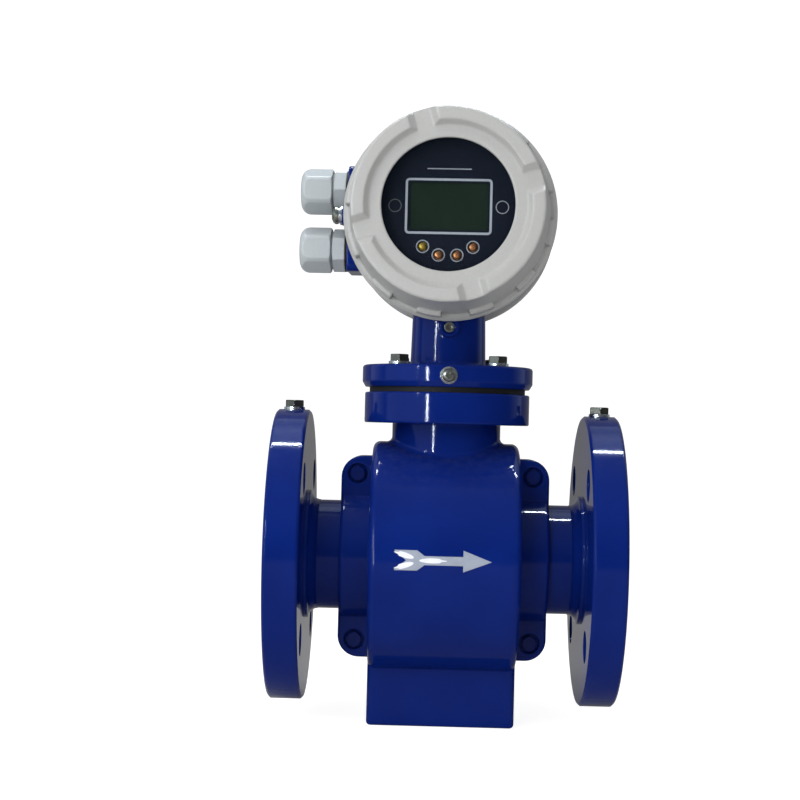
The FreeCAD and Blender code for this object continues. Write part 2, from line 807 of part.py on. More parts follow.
def gland_washers():
    return group([tube(gland_washer_r, gland_thread_r + 0.1, (block_face_x, gland_y, z), -AX, gland_washer_t)
                  for z in gland_zs])


def gland_seal(z):
    r = gland_pocket_r - free_gap
    return tube(r, gland_seal_bore_r, (gland_seal_x, gland_y, z), -AX, gland_seal_len)


def gland_nut(z):
    """Domed hexagon nut, open at both ends."""
    start = V(gland_nut_x, gland_y, z)
    prism = hexagon(gland_nut_af, tuple(start), -AX, gland_nut_len, AZ)
    shoulder = gland_nut_len - gland_nut_dome
    r = gland_nut_corner_r
    dome = [(0, 0), (0, r - 0.8), (0.8, r), (shoulder, r)]
    for i in range(1, 7):
        a = math.radians(15 * i)
        dome.append((shoulder + gland_nut_dome * math.sin(a), r - gland_nut_dome * (1 - math.cos(a))))
    dome.append((gland_nut_len, 0))
    body = prism.common(revolved(dome, start, -AX, AZ))
    inner_a = gland_nut_x - gland_seal_x + gland_seal_len + free_gap
    thread_a = gland_hex_h + gland_sleeve_len - (gland_hex_x - gland_nut_x) + free_gap
    thread = cyl(gland_sleeve_r + running_gap, (gland_nut_x + 1, gland_y, z), -AX, thread_a + 1)
    room = cyl(gland_pocket_r, (gland_nut_x + 1, gland_y, z), -AX, inner_a + 1)
    mouth = cyl(gland_nut_mouth_r, (gland_nut_x + 1, gland_y, z), -AX, gland_nut_len + 2)
    return cut(body, [thread, room, mouth])


def housing_ground_screw():
    x = block_face_x - ground_boss_h - m5_washer_t - spring_washer_t
    shank = ground_tap_depth + m5_washer_t + spring_washer_t - 0.5
    return pan_screw(m5_r - seat_gap, m5_head_r, m5_head_h, (x, ground_y, ground_z), -AX, AZ, shank)


def housing_ground_washers():
    x = block_face_x - ground_boss_h
    flat = tube(m5_washer_r, m5_r + 0.1, (x, ground_y, ground_z), -AX, m5_washer_t)
    spring_r = m5_washer_r - spring_washer_inset
    spring = tube(spring_r, m5_r + 0.1, (x - m5_washer_t, ground_y, ground_z), -AX, spring_washer_t)
    return group([flat, spring])


# ---------------------------------------------------------------- covers
def cover_outline(reach):
    """Outer half outline of a cover, from its rim to the centre of its front step."""
    step_a = reach - band_h
    lip_a = rim_a + cover_lip_w
    return [(rim_a, 0), (rim_a, cover_lip_r - 0.6), (rim_a + 0.6, cover_lip_r), (lip_a, cover_lip_r),
            (lip_a + cover_lip_bevel, cover_lip_r - cover_lip_bevel),
            (lip_a + cover_lip_bevel, cover_wall_r), (step_a, cover_front_r), (step_a, 0)]


def cover_band(reach, side):
    """Ring raised round the cover's front, cut through by gaps with sloping ends."""
    step_a = reach - band_h
    slope = (cover_wall_r - cover_front_r) / (step_a - rim_a - cover_lip_w - cover_lip_bevel)
    outline = [(step_a - 1.5, band_inner_r), (step_a, band_inner_r), (reach, band_top_inner_r)]
    top_r = cover_front_r - slope * (band_h - band_edge)
    for i in range(5):
        a = math.radians(22.5 * i)
        outline.append((reach - band_edge * (1 - math.cos(a)), top_r - band_edge * (1 - math.sin(a))))
    outline += [(step_a, cover_front_r), (step_a - 1.5, cover_front_r)]
    half = band_gap_r * math.radians(band_gap_angle / 2)
    rise = band_h + 1
    tools = []
    for i in range(band_gap_count):
        corners = [(-half, step_a), (half, step_a), (half + rise, step_a + rise), (-half - rise, step_a + rise)]
        wire = Part.makePolygon([HEAD + AX * (band_inner_r - 5) - AY * side * a + AZ * t
                                 for t, a in corners + corners[:1]])
        tool = Part.Face(wire).extrude(AX * (cover_lip_r - band_inner_r + 5))
        tool.rotate(HEAD, -AY * side, band_gap_phase + 360.0 / band_gap_count * i)
        tools.append(tool)
    return cut(about_head(outline, side), tools)


def cover_lugs(side):
    """Grip lugs round the foot of the side wall."""
    a0 = rim_a + cover_lip_w + cover_lip_bevel - 0.5
    a1 = a0 + lug_len
    outline = [(a0, cover_front_r), (a0, lug_r), (a1 - lug_edge, lug_r), (a1, lug_r - lug_edge),
               (a1, cover_front_r)]
    lugs = []
    for i in range(lug_count):
        lug = about_head(outline, side, lug_angle)
        lug.rotate(HEAD, -AY * side, lug_phase + 360.0 / lug_count * i)
        lugs.append(lug)
    return lugs


def cover_body(reach, side):
    return fuse([about_head(cover_outline(reach), side), cover_band(reach, side)] + cover_lugs(side))


def cover_hollow(side, depth_a):
    r = spigot_r + running_gap
    ring_room_a = ring_a + seal_ring_section / 2 + free_gap
    ring_room_r = ring_r + seal_ring_section / 2 + free_gap
    thread_a = spigot_a + 1.0
    return [head_cyl(ring_room_r, rim_a - 1, ring_room_a, side),
            head_cyl(r, rim_a - 1, thread_a, side),
            head_cyl(cover_cavity_r, rim_a - 1, depth_a, side)]


def front_cover():
    body = cover_body(front_cover_reach, 1)
    lip_a = front_step_a - window_lip
    tools = cover_hollow(1, retainer_a)
    tools.append(head_cyl(glass_seat_r, rim_a, lip_a))
    tools.append(head_cyl(window_r, rim_a, front_cover_reach + 5))
    return cut(body, tools)


def rear_cover():
    body = cover_body(rear_cover_reach, -1)
    return cut(body, cover_hollow(-1, rear_cover_reach - band_h - barrel_wall))


def cover_seal(side):
    return torus(HEAD - AY * side * ring_a, AY, ring_r, seal_ring_section)


def window_gasket():
    ring = head_cyl(glass_seat_r - seat_gap, glass_a1, glass_a1 + window_gasket_t)
    return ring.cut(head_cyl(window_r + 0.8, glass_a1 - 1, glass_a1 + 2))


def window_glass():
    return head_cyl(glass_seat_r - seat_gap, glass_a0, glass_a1)


def window_retainer():
    ring = head_cyl(glass_seat_r - seat_gap, retainer_a, glass_a0)
    return ring.cut(head_cyl(glass_seat_r - retainer_w, retainer_a - 1, glass_a0 + 1))


# ---------------------------------------------------------------- electronics
def head_box(x_half, z_half, a0, a1, x=0.0, z=0.0):
    return box(x - x_half, x + x_half, -a1, -a0, head_axis_z + z - z_half, head_axis_z + z + z_half)


def button_cylinder(place, r, a0, a1):
    x, z = place
    return cyl(r, (x, -a0, head_axis_z + z), -AY, a1 - a0)


def faceplate():
    disc = head_cyl(cover_cavity_r - face_inset, face_a0, face_a1)
    tools = [head_box(lcd_w / 2, lcd_h / 2, face_a0 - 1, face_a1 + 1)]
    for place in button_places:
        tools.append(button_cylinder(place, button_hole_r, face_a0 - 1, face_a1 + 1))
    return cut(disc, tools)


def display_carrier():
    disc = head_cyl(spigot_in_r - face_inset, carrier_a, face_a0)
    room = lcd_frame + 0.4
    tools = [head_box(lcd_w / 2 + room, lcd_h / 2 + room, carrier_a - 1, face_a0 + 1)]
    for place in button_places:
        tools.append(button_cylinder(place, button_flange_r + free_gap, carrier_a - 1, face_a0 + 1))
    return cut(disc, tools)


def lcd_module():
    a1 = face_a0 - lcd_recess
    return head_box(lcd_w / 2 + lcd_frame, lcd_h / 2 + lcd_frame, a1 - lcd_t, a1)


def board(a1):
    return head_cyl(spigot_in_r - board_inset, a1 - board_t, a1)


def display_board():
    return board(carrier_a)


def middle_post_a():
    return -partition_y + rear_post_len + board_t


def main_board_a():
    return middle_post_a() + middle_post_len + board_t


def power_board():
    return board(middle_post_a())


def main_board():
    return board(main_board_a())


def board_posts():
    """Three tiers of posts that stack the boards on the partition."""
    tiers = [(-partition_y, rear_post_len),
             (middle_post_a(), middle_post_len),
             (main_board_a(), carrier_a - board_t - main_board_a())]
    posts = []
    for a, length in tiers:
        for x in (-post_reach, post_reach):
            for z in (-post_reach, post_reach):
                posts.append(cyl(post_r, (x, -a, head_axis_z + z), -AY, length))
    return group(posts)


def button(place):
    flange_a1 = face_a0 - free_gap
    cap_a = face_a1 + button_proud
    dome = 0.5
    cap = button_cylinder(place, button_r, flange_a1 - 0.1, cap_a)
    cap = rounded(cap, dome, lambda p: near(p.y, -cap_a))
    flange = button_cylinder(place, button_flange_r, flange_a1 - button_flange_t, flange_a1)
    tip_a = carrier_a + switch_h + button_travel + free_gap
    stem = button_cylinder(place, button_stem_r, tip_a, flange_a1)
    return fuse([cap, flange, stem])


def tact_switches():
    half = switch_side / 2
    return group([head_box(half, half, carrier_a, carrier_a + switch_h, x, z) for x, z in button_places])


def terminal_block():
    y0 = partition_y + partition_t
    body = box(-terminal_half_x, terminal_half_x, y0, y0 + terminal_depth,
               head_axis_z - terminal_half_z, head_axis_z + terminal_half_z)
    tools = []
    for x in terminal_xs():
        tools.append(cyl(terminal_screw_r + 0.8, (x, y0 + terminal_depth - 3, head_axis_z), AY, 5))
    return cut(body, tools)


def terminal_xs():
    pitch = 2 * terminal_half_x / terminal_count
    return [pitch * (i - (terminal_count - 1) / 2) for i in range(terminal_count)]


def terminal_screws():
    y = partition_y + partition_t + terminal_depth - 3
    return group([cyl(terminal_screw_r, (x, y, head_axis_z), AY, 3 - terminal_screw_proud)
                  for x in terminal_xs()])


# ---------------------------------------------------------------- all pieces
def sensor_pieces():
    whole = whole_shell()
    return {
        "measuring_tube": measuring_tube(),
        "liner": liner(),
        "inlet_flange": flange(-1),
        "outlet_flange": flange(1),
        "flange_ground_screws": flange_ground_screws(),
        "front_shell": shell_half(whole, -1),
        "rear_shell": shell_half(whole, 1),
        "seam_gasket": seam_gasket(whole),
        "collar_seals": collar_seals(),
        "shell_bolts": shell_bolts(),
        "shell_nuts": shell_nuts(),
        "pole_piece_upper": pole_piece(1),
        "pole_piece_lower": pole_piece(-1),
        "coil_upper": coil(1),
        "coil_lower": coil(-1),
        "magnetic_yoke": magnetic_yoke(),
        "sensor_leads": sensor_leads(),
        "lead_feedthrough": lead_feedthrough(),
        "electrode_front": electrode(-1),
        "electrode_rear": electrode(1),
        "electrode_bushes": electrode_bushes(),
        "electrode_nuts": electrode_nuts(),
        "neck_gasket": neck_gasket(),
        "neck_seat": neck_seat(),
        "neck_bolts": neck_bolts(),
        "neck_washers": neck_washers(),
        "neck_ground_screw": neck_ground_screw(),
        "ground_washers": ground_washers(),
        "neck_set_screw": neck_set_screw(),
    }


def head_pieces():
    pieces = {
        "housing": housing(),
        "stem_seal": stem_seal(),
        "gland_bodies": group([gland_body(z, corner) for z, corner in zip(gland_zs, (AY, AZ))]),
        "gland_washers": gland_washers(),
        "housing_ground_screw": housing_ground_screw(),
        "housing_ground_washers": housing_ground_washers(),
        "front_cover": front_cover(),
        "front_cover_seal": cover_seal(1),
        "window_gasket": window_gasket(),
        "window_glass": window_glass(),
        "window_retainer": window_retainer(),
        "rear_cover": rear_cover(),
        "rear_cover_seal": cover_seal(-1),
        "faceplate": faceplate(),
        "display_carrier": display_carrier(),
        "lcd_module": lcd_module(),
        "display_board": display_board(),
        "tact_switches": tact_switches(),
        "main_board": main_board(),
        "power_board": power_board(),
        "board_posts": board_posts(),
        "terminal_block": terminal_block(),
        "terminal_screws": terminal_screws(),
    }
    for name, z in zip(("upper", "lower"), gland_zs):
        pieces["gland_seal_" + name] = gland_seal(z)
        pieces["gland_nut_" + name] = gland_nut(z)
    for i, place in enumerate(button_places):
        pieces["button_%d" % (i + 1)] = button(place)
    return {name: turned(shape) for name, shape in pieces.items()}


def main():
    os.makedirs("parts", exist_ok=True)
    pieces = sensor_pieces()
    pieces.update(head_pieces())
    for name, shape in pieces.items():
        shape.exportStep("parts/%s.step" % name)
        print("%-24s %2d solids  %10.1f mm3  %s" % (name, len(shape.Solids), shape.Volume, shape.isValid()))


main()
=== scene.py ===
"""Electromagnetic flow meter: paint, metal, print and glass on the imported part, and its studio.

Metres. The frame's CAD nodes stay as they are and get their finishes here. The print, the
screen, the button caps and the flow arrow are modelled on them.
"""

import math

import bmesh
import bpy
from bpy.props import FloatProperty, FloatVectorProperty, IntProperty, PointerProperty
from mathutils import Matrix, Vector


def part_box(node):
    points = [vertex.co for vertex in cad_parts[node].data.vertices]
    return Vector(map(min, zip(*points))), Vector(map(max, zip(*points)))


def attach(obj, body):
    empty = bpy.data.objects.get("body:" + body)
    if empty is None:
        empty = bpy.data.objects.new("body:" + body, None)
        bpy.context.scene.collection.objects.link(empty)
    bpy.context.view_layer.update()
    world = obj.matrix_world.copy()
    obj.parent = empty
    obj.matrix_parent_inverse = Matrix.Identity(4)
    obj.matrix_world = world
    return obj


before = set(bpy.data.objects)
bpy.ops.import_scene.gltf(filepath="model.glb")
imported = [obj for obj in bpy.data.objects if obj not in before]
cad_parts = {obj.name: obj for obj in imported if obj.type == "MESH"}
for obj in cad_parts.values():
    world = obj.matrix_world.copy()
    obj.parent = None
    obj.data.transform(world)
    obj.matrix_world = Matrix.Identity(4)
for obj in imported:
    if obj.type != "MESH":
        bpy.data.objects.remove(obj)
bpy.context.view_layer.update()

bl_info = {
    "name": "Flow Meter Finish",
    "version": (1, 0, 0),
    "blender": (4, 5, 0),
    "location": "View3D > Sidebar > Flow Meter",
    "description": "Finishes an electromagnetic flow meter with paint, metal, print and glass",
    "category": "Object",
}

MM = 0.001
UP = Vector((0, 0, 1))


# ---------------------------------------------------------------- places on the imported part
def middle(node):
    lo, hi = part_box(node)
    return (lo + hi) / 2


HEAD_TURN = math.radians(-2.4)       # the head's turn on its seat at rest
PANEL_FRONT = 61.8 * MM              # from the head's axis of turn to the panel's face
HEAD_Z = middle("faceplate").z
DRUM_R = 65.5 * MM
FOOT_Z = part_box("front_shell")[0].z
NEAR = 0.001 * MM                    # slack when a point is looked for on a line
KEYS = (1, 2, 3, 4)


# ---------------------------------------------------------------- settings
def length(name, about, value):
    return FloatProperty(name=name, description=about, default=value * MM, min=0.0, precision=5,
                         subtype="DISTANCE", unit="LENGTH")


def colour(name, about, value):
    return FloatVectorProperty(name=name, description=about, default=value, size=3, min=0.0, max=1.0,
                               subtype="COLOR")


def amount(name, about, value):
    return FloatProperty(name=name, description=about, default=value, min=0.0, max=1.0, subtype="FACTOR")


def power(name, about, value):
    return FloatProperty(name=name, description=about, default=value, min=0.0, unit="POWER")


class FlowMeterSizes(bpy.types.PropertyGroup):
    arrow_length: length("Arrow length", "Flow arrow from tail to tip", 52.7)
    arrow_shaft: length("Arrow shaft", "Height of the flow arrow's shaft", 4.9)
    arrow_head: length("Arrow head", "Height of the flow arrow's head", 11.7)
    arrow_head_length: length("Arrow head length", "Flow arrow's head along the arrow", 15.4)
    arrow_tail: length("Arrow tail", "Height of the flow arrow's tail", 10.9)
    arrow_tail_length: length("Arrow tail length", "Flow arrow's tail along the arrow", 12.5)
    arrow_slope: length("Arrow slope", "Stretch in which the shaft widens to the tail", 4.0)
    arrow_notch: length("Arrow notch", "Depth of the notch in the tail's end", 6.5)
    arrow_rise: length("Arrow rise", "Flow arrow's middle above the bore's axis", 2.5)
    arrow_back: length("Arrow set back", "Flow arrow's middle upstream of the drum's middle", 1.05)
    arrow_foil: length("Arrow foil", "Thickness of the flow arrow's foil", 0.10)
    screen_line_width: length("Screen line width", "Outer width of the line round the display", 47.0)
    screen_line_height: length("Screen line height", "Outer height of the line round the display", 30.2)
    screen_line: length("Screen line", "Width of the line round the display", 1.25)
    screen_line_corner: length("Screen line corner", "Corner radius of the line round the display", 2.2)
    screen_width: length("Screen width", "Width of the display's screen", 42.6)
    screen_height: length("Screen height", "Height of the display's screen", 26.6)
    screen_cut: length("Screen cut", "Cut across each corner of the screen", 1.6)
    screen_thickness: length("Screen thickness", "Thickness of the display's screen", 0.9)
    screen_depth: length("Screen depth", "Back of the screen behind the panel's face", 2.1)
    rim_width: length("Rim width", "Outer width of the dark rim round the screen", 44.4)
    rim_height: length("Rim height", "Outer height of the dark rim round the screen", 27.8)
    rim_line: length("Rim line", "Width of the dark rim", 1.0)
    rim_corner: length("Rim corner", "Corner radius of the dark rim", 1.2)
    rim_thickness: length("Rim thickness", "Thickness of the dark rim", 0.05)
    ring_radius: length("Ring radius", "Outer radius of the printed rings", 3.6)
    ring_line: length("Ring line", "Width of the lamp rings' line", 0.5)
    lamp_ring_reach: length("Lamp ring reach", "Middle of the display to the middle of a lamp ring", 29.0)
    key_ring_line: length("Key ring line", "Width of the rings round the keys", 0.62)
    rule_width: length("Rule width", "Length of the plain rule above the display", 24.0)
    rule_height: length("Rule height", "Height of the plain rule", 0.5)
    rule_corner: length("Rule corner", "Radius of the plain rule's ends", 0.22)
    rule_rise: length("Rule rise", "Plain rule above the middle of the display", 20.3)
    cap_radius: length("Cap radius", "Radius of the metal key caps", 2.05)
    cap_wall: length("Cap wall", "Height of the key caps' straight wall", 1.0)
    cap_sink: length("Cap sink", "Depth of the key caps' foot in the keys", 0.05)
    print_height: length("Print height", "Thickness of printed marks", 0.06)
    dot_pitch: length("Dot pitch", "Distance of the faint dots on the display", 0.55)


class FlowMeterColours(bpy.types.PropertyGroup):
    body_blue: colour("Body blue", "Gloss paint of flanges, drum and housing", (0.0026, 0.0142, 0.141))
    body_blue_deep: colour("Deep blue", "Where the gloss paint lies thicker", (0.0021, 0.0116, 0.122))
    cover_grey: colour("Cover grey", "Powder coat of the two covers", (0.372, 0.375, 0.366))
    gland_grey: colour("Gland grey", "Moulding of the two cable glands", (0.370, 0.405, 0.422))
    panel_navy: colour("Panel navy", "Film over the display panel", (0.0080, 0.0118, 0.0245))
    print_white: colour("Print white", "Marks printed on the panel", (0.40, 0.45, 0.52))
    arrow_grey: colour("Arrow grey", "Foil of the flow arrow", (0.34, 0.38, 0.46))
    screen_green: colour("Screen green", "Unlit display", (0.0085, 0.0200, 0.0130))
    key_gold: colour("Key gold", "First key cap", (0.52, 0.36, 0.07))
    key_copper: colour("Key copper", "Other key caps", (0.60, 0.26, 0.11))


class FlowMeterStudio(bpy.types.PropertyGroup):
    key_power: power("Soft box", "Power of the tall soft box at the left", 12.0)
    side_power: power("Side lamp", "Power of the tall lamp far to the left", 13.0)
    ceiling_power: power("Ceiling panel", "Power of the soft panel overhead", 13.0)
    fill_power: power("Fill lamp", "Power of the soft lamp at the right", 4.0)
    bounce_power: power("Bounce card", "Power of the card low in front", 1.8)
    strip_light: FloatProperty(name="Strip lamps", description="Watts per square metre of the narrow lamps",
                               default=500.0, min=0.0)
    floor_glow: amount("Floor glow", "Light that the white floor throws up", 0.40)
    room_light: amount("Room light", "Strength of the light from all round", 0.32)
    floor_colour: colour("Floor", "Colour of the floor and the backdrop", (0.38, 0.38, 0.38))
    backdrop_bend: IntProperty(name="Backdrop bend", description="Segments in the backdrop's bend",
                               default=12, min=2)


def sizes():
    return bpy.context.scene.flow_meter_sizes


def colours():
    return bpy.context.scene.flow_meter_colours


def studio():
    return bpy.context.scene.flow_meter_studio


# ---------------------------------------------------------------- modelling helpers
def deselect():
    if bpy.context.object and bpy.context.object.mode != "OBJECT":
        bpy.ops.object.mode_set(mode="OBJECT")
    bpy.ops.object.select_all(action="DESELECT")


def pick(obj):
    deselect()
    obj.select_set(True)
    bpy.context.view_layer.objects.active = obj


def started(name):
    """Names the object that a primitive operator has just added."""
    obj = bpy.context.object
    obj.name = name
    obj.data.name = name
    return obj


def edit(mode="FACE"):
    bpy.ops.object.mode_set(mode="EDIT")
    bpy.ops.mesh.select_mode(type=mode)


def choose(obj, kind, test):
    """Selects the edit mesh's verts, edges or faces whose middle passes the test."""
    mesh = bmesh.from_edit_mesh(obj.data)
    bpy.ops.mesh.select_all(action="DESELECT")
    found = 0
    for item in getattr(mesh, kind):
        if kind == "verts":
            place = item.co
        elif kind == "edges":
            place = (item.verts[0].co + item.verts[1].co) / 2
        else:
            place = item.calc_center_median()
        if test(place):
            item.select_set(True)
            found += 1
    mesh.select_flush_mode()
    bmesh.update_edit_mesh(obj.data)
    if not found:
        raise RuntimeError("nothing to shape on " + obj.name)


def done(obj):
    bpy.ops.object.mode_set(mode="OBJECT")
    return obj


def choose_all():
    bpy.ops.mesh.select_all(action="SELECT")


def resize(x, y):
    """Resizes what is chosen in X and Y about the piece's origin."""
    bpy.ops.transform.resize(value=(x, y, 1), center_override=(0, 0, 0))


def move(x, y, z):
    bpy.ops.transform.translate(value=(x, y, z))


def drag_edges(x, y, z):
    """Draws new faces out of the chosen edges."""
    bpy.ops.mesh.extrude_edges_move(TRANSFORM_OT_translate={"value": (x, y, z)})


def twins(first, names):
    """The first piece and a copy for each name, with a mesh of its own."""
    made = [first]
    for name in names:
        other = first.copy()
        other.data = first.data.copy()
        other.name = name
        bpy.context.collection.objects.link(other)
        made.append(other)
    return made


def settle(obj, matrix):
    """Puts a piece in its place and writes the place into its mesh."""
    pick(obj)
    obj.matrix_world = matrix
    bpy.ops.object.transform_apply(location=True, rotation=True, scale=True)


def apply_modifier(obj, kind, **settings):
    pick(obj)
    bpy.ops.object.modifier_add(type=kind)
    modifier = obj.modifiers[-1]
    for name, value in settings.items():
        setattr(modifier, name, value)
    bpy.ops.object.modifier_apply(modifier=modifier.name)


def on_panel(x, z, lift=0.0):
    """Matrix that stands a flat piece, drawn in XY, on the turned panel at x, z from its middle."""
    turn = Matrix.Rotation(HEAD_TURN, 4, "Z")
    place = Matrix.Translation((x, -PANEL_FRONT - lift, HEAD_Z + z))
    return turn @ place @ Matrix.Rotation(math.radians(90), 4, "X")


def thicken(height):
    """Gives the selected flat faces a thickness towards +Z."""
    choose_all()
    bpy.ops.mesh.extrude_region_move(TRANSFORM_OT_translate={"value": (0, 0, height)})
    choose_all()
    bpy.ops.mesh.normals_make_consistent(inside=False)


def frame_off(obj, line, height):
    """Leaves a line of the flat piece's border, and gives it a thickness."""
    choose_all()
    bpy.ops.mesh.inset(thickness=line, depth=0)
    choose(obj, "faces", lambda p: p.length < line / 2)
    bpy.ops.mesh.delete(type="FACE")
    thicken(height)
    return done(obj)


def flat_ring(name, outer, line, height, segments=72):
    deselect()
    bpy.ops.mesh.primitive_circle_add(vertices=segments, radius=outer, fill_type="NGON")
    obj = started(name)
    edit()
    return frame_off(obj, line, height)


def rounded_plate(name, width, height, corner, segments=6):
    """A flat plate in edit mode. One segment cuts its corners, and more round them."""
    deselect()
    bpy.ops.mesh.primitive_plane_add(size=1)
    obj = started(name)
    edit("VERT")
    choose_all()
    resize(width, height)
    bpy.ops.mesh.bevel(offset=corner, offset_type="WIDTH" if segments == 1 else "OFFSET",
                       segments=segments, affect="VERTICES")
    bpy.ops.mesh.select_mode(type="FACE")
    return obj


# ---------------------------------------------------------------- material helpers
class Tree:
    """Short names for adding and joining nodes."""

    def __init__(self, tree):
        self.tree = tree

    def add(self, kind, **settings):
        node = self.tree.nodes.new(kind)
        for name, value in settings.items():
            setattr(node, name, value)
        return node

    def feed(self, socket, value):
        if isinstance(value, bpy.types.NodeSocket):
            self.tree.links.new(value, socket)
        else:
            socket.default_value = value

    def place(self):
        return self.add("ShaderNodeTexCoord").outputs["Object"]

    def noise(self, scale, detail=2.0, rough=0.5, stretch=None):
        node = self.add("ShaderNodeTexNoise")
        vector = self.place()
        if stretch:
            mapping = self.add("ShaderNodeMapping")
            self.feed(mapping.inputs["Vector"], vector)
            mapping.inputs["Scale"].default_value = stretch
            vector = mapping.outputs["Vector"]
        self.feed(node.inputs["Vector"], vector)
        self.feed(node.inputs["Scale"], scale)
        node.inputs["Detail"].default_value = detail
        node.inputs["Roughness"].default_value = rough
        return node.outputs["Fac"]

    def remap(self, value, low, high, to_low, to_high):
        node = self.add("ShaderNodeMapRange")
        for name, item in (("Value", value), ("From Min", low), ("From Max", high), ("To Min", to_low),
                           ("To Max", to_high)):
            self.feed(node.inputs[name], item)
        return node.outputs["Result"]

    def maths(self, operation, a, b=0.0):
        node = self.add("ShaderNodeMath", operation=operation)
        self.feed(node.inputs[0], a)
        self.feed(node.inputs[1], b)
        return node.outputs[0]

    def product(self, a, b):
        return self.maths("MULTIPLY", a, b)

    def mix(self, factor, a, b):
        """Colour a to b. An RGBA mix node has its colours at inputs 6 and 7 and its result at output 2."""
        node = self.add("ShaderNodeMix", data_type="RGBA")
        self.feed(node.inputs["Factor"], factor)
        self.feed(node.inputs[6], a)
        self.feed(node.inputs[7], b)
        return node.outputs[2]

    def split(self, vector):
        """The vector's X, Y and Z."""
        node = self.add("ShaderNodeSeparateXYZ")
        self.feed(node.inputs[0], vector)
        return node.outputs

    def rounded(self, radius):
        """Normals of edges softened by a thick coat."""
        node = self.add("ShaderNodeBevel", samples=6)
        self.feed(node.inputs["Radius"], radius)
        return node.outputs["Normal"]

    def bump(self, height, distance, normal=None):
        node = self.add("ShaderNodeBump")
        self.feed(node.inputs["Height"], height)
        self.feed(node.inputs["Distance"], distance)
        if normal is not None:
            self.feed(node.inputs["Normal"], normal)
        return node.outputs["Normal"]


def new_group(name, inputs, outputs):
    """An empty node group with named sockets, and its Tree, input node and output node."""
    group = bpy.data.node_groups.new(name, "ShaderNodeTree")
    for label, kind, value in inputs:
        socket = group.interface.new_socket(label, in_out="INPUT", socket_type="NodeSocket" + kind)
        if value is not None:
            socket.default_value = value
    for label, kind in outputs:
        group.interface.new_socket(label, in_out="OUTPUT", socket_type="NodeSocket" + kind)
    tree = Tree(group)
    return group, tree, tree.add("NodeGroupInput"), tree.add("NodeGroupOutput")


def rgba(value):
    return (value[0], value[1], value[2], 1.0)


# ---------------------------------------------------------------- shared effects
def paint_film_group():
    """Sprayed paint: slow drift of colour, orange peel, and a gloss that varies a little."""
    group, t, i, o = new_group(
        "paint film",
        [("Colour", "Color", None), ("Deep Colour", "Color", None), ("Peel Scale", "Float", 420.0),
         ("Peel Height", "Float", 0.00002), ("Roughness", "Float", 0.1), ("Spread", "Float", 0.015),
         ("Edge Radius", "Float", 0.0007)],
        [("Colour", "Color"), ("Roughness", "Float"), ("Normal", "Vector")])
    drift = t.remap(t.noise(28.0, 3.0), 0.35, 0.65, 0.0, 1.0)
    t.feed(o.inputs["Colour"], t.mix(drift, i.outputs["Colour"], i.outputs["Deep Colour"]))
    cloud = t.remap(t.noise(90.0, 4.0), 0.3, 0.7, -1.0, 1.0)
    uneven = t.product(cloud, i.outputs["Spread"])
    t.feed(o.inputs["Roughness"], t.maths("ADD", i.outputs["Roughness"], uneven))
    peel = t.noise(i.outputs["Peel Scale"], 1.5, 0.45)
    t.feed(o.inputs["Normal"], t.bump(peel, i.outputs["Peel Height"], t.rounded(i.outputs["Edge Radius"])))
    return group


def grain_group():
    """Fine grain of a powder coat, a moulding or a casting."""
    group, t, i, o = new_group(
        "surface grain",
        [("Scale", "Float", 1500.0), ("Height", "Float", 0.00002), ("Pits", "Float", 0.3),
         ("Edge Radius", "Float", 0.0002)],
        [("Grain", "Float"), ("Normal", "Vector")])
    fine = t.noise(i.outputs["Scale"], 3.0, 0.6)
    cells = t.add("ShaderNodeTexVoronoi")
    t.feed(cells.inputs["Vector"], t.place())
    t.feed(cells.inputs["Scale"], t.product(i.outputs["Scale"], 0.6))
    pits = t.remap(cells.outputs["Distance"], 0.0, 0.35, 0.0, 1.0)
    grain = t.maths("ADD", fine, t.product(pits, i.outputs["Pits"]))
    t.feed(o.inputs["Grain"], fine)
    t.feed(o.inputs["Normal"], t.bump(grain, i.outputs["Height"], t.rounded(i.outputs["Edge Radius"])))
    return group


def metal_wear_group():
    """Bare or plated metal: cloudy tarnish, short scratches and a fine lay."""
    group, t, i, o = new_group(
        "metal wear",
        [("Colour", "Color", None), ("Tarnish", "Color", None), ("Roughness", "Float", 0.2),
         ("Scratch Height", "Float", 0.000002)],
        [("Colour", "Color"), ("Roughness", "Float"), ("Normal", "Vector")])
    cloud = t.remap(t.noise(120.0, 3.0, 0.5), 0.4, 0.7, 0.0, 1.0)
    t.feed(o.inputs["Colour"], t.mix(cloud, i.outputs["Colour"], i.outputs["Tarnish"]))
    lay = t.noise(300.0, 2.0, 0.5, stretch=(1.0, 9.0, 1.2))
    rough = t.maths("ADD", i.outputs["Roughness"], t.remap(lay, 0.3, 0.7, -0.03, 0.05))
    t.feed(o.inputs["Roughness"], t.maths("ADD", rough, t.product(cloud, 0.06)))
    scratch = t.remap(t.noise(500.0, 1.0, 0.5, stretch=(0.12, 1.0, 1.6)), 0.55, 0.7, 0.0, 1.0)
    t.feed(o.inputs["Normal"], t.bump(scratch, i.outputs["Scratch Height"], t.rounded(0.3 * MM)))
    return group


def dust_group():
    """Thin dust that settles on faces that look up."""
    group, t, i, o = new_group(
        "settled dust",
        [("Colour", "Color", None), ("Roughness", "Float", 0.2), ("Dust", "Color", None),
         ("Amount", "Float", 0.1)],
        [("Colour", "Color"), ("Roughness", "Float")])
    normal = t.add("ShaderNodeNewGeometry").outputs["Normal"]
    up = t.remap(t.split(normal)["Z"], 0.55, 1.0, 0.0, 1.0)
    patch = t.remap(t.noise(240.0, 6.0, 0.65), 0.4, 0.7, 0.15, 1.0)
    mask = t.product(t.product(up, patch), i.outputs["Amount"])
    t.feed(o.inputs["Colour"], t.mix(mask, i.outputs["Colour"], i.outputs["Dust"]))
    t.feed(o.inputs["Roughness"], t.maths("ADD", i.outputs["Roughness"], t.product(mask, 0.4)))
    return group


GROUPS = {}


